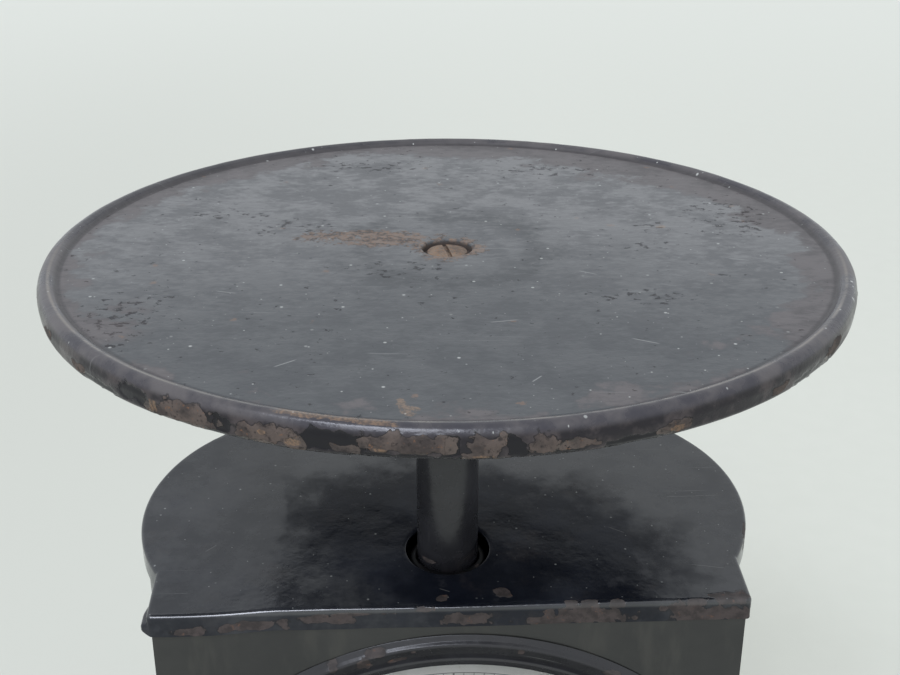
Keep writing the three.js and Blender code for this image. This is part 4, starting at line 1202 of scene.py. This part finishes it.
def build_back_cover():
    """Rear plate with round corners and a pressed raised field."""
    half_x = cover_high.x
    middle = (cover_low.z + cover_high.z) / 2
    half_z = (cover_high.z - cover_low.z) / 2
    near, far = cover_low.y, cover_high.y
    corner = 6 * MM
    around = []
    for cx, cz, start in ((1, 1, 0), (-1, 1, 1), (-1, -1, 2), (1, -1, 3)):
        for turn in np.linspace(0, TAU / 4, 12):
            angle = start * TAU / 4 + turn
            across = cx * (half_x - corner) + corner * math.cos(angle)
            around.append([across, cz * (half_z - corner) + corner * math.sin(angle)])
    around = spaced(np.array(around), 2.5 * MM, closed=True)
    profile = [
        (0, far - 0.3 * MM), (0.3 * MM, far), (7.5 * MM, far), (8.6 * MM, far + 0.5 * MM),
        (10 * MM, far + 1.1 * MM), (11.4 * MM, far + 1.3 * MM),
    ]
    rings = []
    for inset, y in profile:
        shrunk = around * (1 - inset / np.array([half_x, half_z]))
        rings.append(np.column_stack([shrunk[:, 0], np.full(len(shrunk), y), middle + shrunk[:, 1]]))
    inner = rings[-1]
    centre = inner.mean(0)
    for share in np.linspace(1, 0, 14)[1:]:
        rings.append(centre + (inner - centre) * share)
    for share in (0, 1):
        ring = np.column_stack([around[:, 0], np.full(len(around), near), middle + around[:, 1]])
        ring = centre + (ring - centre) * share
        ring[:, 1] = near
        rings.append(ring)
    rings.append(
        np.column_stack([around[:, 0], np.full(len(around), far - 0.3 * MM), middle + around[:, 1]]))
    mesh = settle(ring_mesh("back_cover_plate", np.stack(rings)), 40)
    weather(mesh, 10 * MM, 1.5, 0.7, 4.0)
    return piece("back_cover_plate", mesh, "root", "gloss_paint", CASE_PAINT, "back_cover")


def build_base():
    """Iron base with a round-shouldered flange, hollow underneath, and four foot bosses left to the feet."""
    top, bottom = 22 * MM, base_low.z
    centre = np.array([0, 25 * MM])
    outline, normals = body_outline()
    out = 4 * MM
    rings = [np.column_stack([np.tile(centre, (len(outline), 1)), np.full(len(outline), top)])]

    def ring(points, level):
        rings.append(np.column_stack([points, np.full(len(points), level)]))

    for share in np.linspace(0, 1, 12)[1:]:
        ring(centre + (outline - normals * 8 * MM - centre) * share, top)
    shoulder = rounded([
        (0, 0, 0), (-out, 0, 3 * MM), (-out, bottom - top, 1.2 * MM), (2 * MM, bottom - top, 0.6 * MM),
        (2.5 * MM, bottom - top, 0.3 * MM), (2.5 * MM, -6 * MM, 3 * MM), (9 * MM, -6 * MM, 0),
    ])
    for inset, drop in spaced(shoulder, 1.5 * MM):
        ring(outline - normals * inset, top + drop)
    for share in np.linspace(1, 0, 10)[1:]:
        ring(centre + (outline - normals * 9 * MM - centre) * share, top - 6 * MM)
    mesh = settle(ring_mesh("base_casting_body", np.stack(rings)), 40)
    points = coordinates(mesh)
    push(mesh, fractal(points, 9 * MM, 4, 1.0) * 0.25 * MM)
    mark(mesh, "flake", fractal(points, 12 * MM, 5, 3.0) * 1.6 - 0.62)
    return piece("base_casting_body", mesh, "root", "cast_iron_paint", BASE_PAINT, "base_casting")


def build_feet():
    for k in range(1, 5):
        node = f"foot_{k}"
        low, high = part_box(node)
        middle = (low + high) / 2
        radius = (high.x - low.x) / 2
        tall = high.z - low.z
        profile = rounded([
            (0, 0.6 * MM, 0), (radius * 0.55, 0.6 * MM, 1 * MM), (radius * 0.62, 0, 0.6 * MM),
            (radius * 0.9, 0, 0.8 * MM), (radius, 1.6 * MM, 1.2 * MM), (radius * 0.96, tall * 0.6, 2 * MM),
            (radius * 0.86, tall, 0.6 * MM), (0, tall, 0),
        ])
        mesh = ring_mesh(node + "_pad", turned(profile + [0, low.z], 72, (middle.x, middle.y)))
        piece(node + "_pad", settle(mesh, 50), "root", "rubber", RUBBER, node)


def build_knob():
    """Knurled brass knob with a coin slot, on its screw."""
    radius, top = knob_high.x, knob_high.z
    seat = top - 9 * MM
    profile = rounded([
        (0, knob_low.z, 0), (2.3 * MM, knob_low.z, 0.4 * MM), (2.3 * MM, seat, 0.3 * MM),
        (radius - 1 * MM, seat, 0.8 * MM), (radius, seat + 1 * MM, 0.6 * MM),
        (radius, top - 1.4 * MM, 1 * MM), (radius - 1.6 * MM, top, 1 * MM), (0, top - 0.3 * MM, 0),
    ])
    count = 240
    middle = (knob_low + knob_high) / 2
    points = turned(spaced(profile, 1 * MM), count, (0, 0))
    ridges = 1 - 0.045 * (0.5 - 0.5 * np.cos(np.arange(count) / count * TAU * 40)) ** 2
    outside = np.hypot(points[..., 0], points[..., 1]) > radius - 0.7 * MM
    points[..., :2] *= np.where(outside, ridges, 1)[..., None]
    mesh = settle(ring_mesh("zero_knob_knurled", points), 30)
    slot = box_mesh((-20 * MM, -0.7 * MM, top - 1.5 * MM), (20 * MM, 0.7 * MM, top + 5 * MM))
    mesh = settle(carved(mesh, [slot]), 30)
    mesh.transform(Matrix.Translation((middle.x, middle.y, 0)))
    return piece("zero_knob_knurled", mesh, "zero_screw", "brass", BRASS, "zero_knob")


build_plate()
add_screws()
build_roof()
build_panel()
build_bezel()
build_pan()
build_dial()
build_post()
build_collar()
build_case()
build_back_cover()
build_base()
build_feet()
build_knob()

# ---- materials on the CAD nodes that stay ----

SLOT_FINISH = {
    "steel": STEEL, "brass": BRASS, "rubber": RUBBER, "glass": GLASS, "pointer_black": POINTER_BLACK,
    "rusty_steel": RUSTY_STEEL, "gloss_paint": CASE_PAINT,
}
for row in frame["record"]["subparts"]:
    node = frame["nodes"][row["node"]]
    if not node.hide_render:
        node.data.materials.clear()
        node.data.materials.append(SLOT_FINISH[row["material_slot"]])

# ---- floor, light and camera ----

FLOOR_RADIUS = 9.0
floor = bpy.data.objects.new("floor", settle(ring_mesh("floor", turned(
    np.array([[0, 0], [0.3, 0], [1, 0], [3, 0], [FLOOR_RADIUS, 0]]), 96, (0, 0)))))
bpy.context.scene.collection.objects.link(floor)
floor.data.materials.append(floor_card())

world = bpy.data.worlds.new("studio")
bpy.context.scene.world = world
world.use_nodes = True
world.node_tree.nodes["Background"].inputs["Color"].default_value = (0.93, 0.97, 1.0, 1)
world.node_tree.nodes["Background"].inputs["Strength"].default_value = 0.95


def softbox(name, place, target, size, strength, colour):
    data = bpy.data.lights.new(name, "AREA")
    data.shape = "RECTANGLE"
    data.size, data.size_y = size
    data.energy = strength
    data.color = colour
    lamp = bpy.data.objects.new(name, data)
    lamp.location = place
    lamp.rotation_euler = (Vector(target) - Vector(place)).to_track_quat("-Z", "Y").to_euler()
    bpy.context.scene.collection.objects.link(lamp)


softbox("front_softbox", (-0.55, -0.95, 1.85), (0, 0, 0.35), (0.9, 0.32), 11, (0.84, 0.88, 1.0))
softbox("edge_softbox", (-0.4, -1.5, 1.75), (0, 0, 0.3), (1.0, 0.6), 13, (0.84, 0.88, 1.0))

camera_data = bpy.data.cameras.new("camera")
camera_data.sensor_width = 36
camera_data.lens = 52.84
camera = bpy.data.objects.new("camera", camera_data)
swing, aside = 0.408, 0.9 * MM
camera.location = (
    -math.sin(VIEW_TURN) * swing + math.cos(VIEW_TURN) * aside,
    -math.cos(VIEW_TURN) * swing - math.sin(VIEW_TURN) * aside, 0.5371,
)
camera.rotation_euler = (math.radians(90 - 23.97), 0, -VIEW_TURN)
bpy.context.scene.collection.objects.link(camera)
bpy.context.scene.camera = camera
bpy.context.scene.view_settings.view_transform = "Standard"
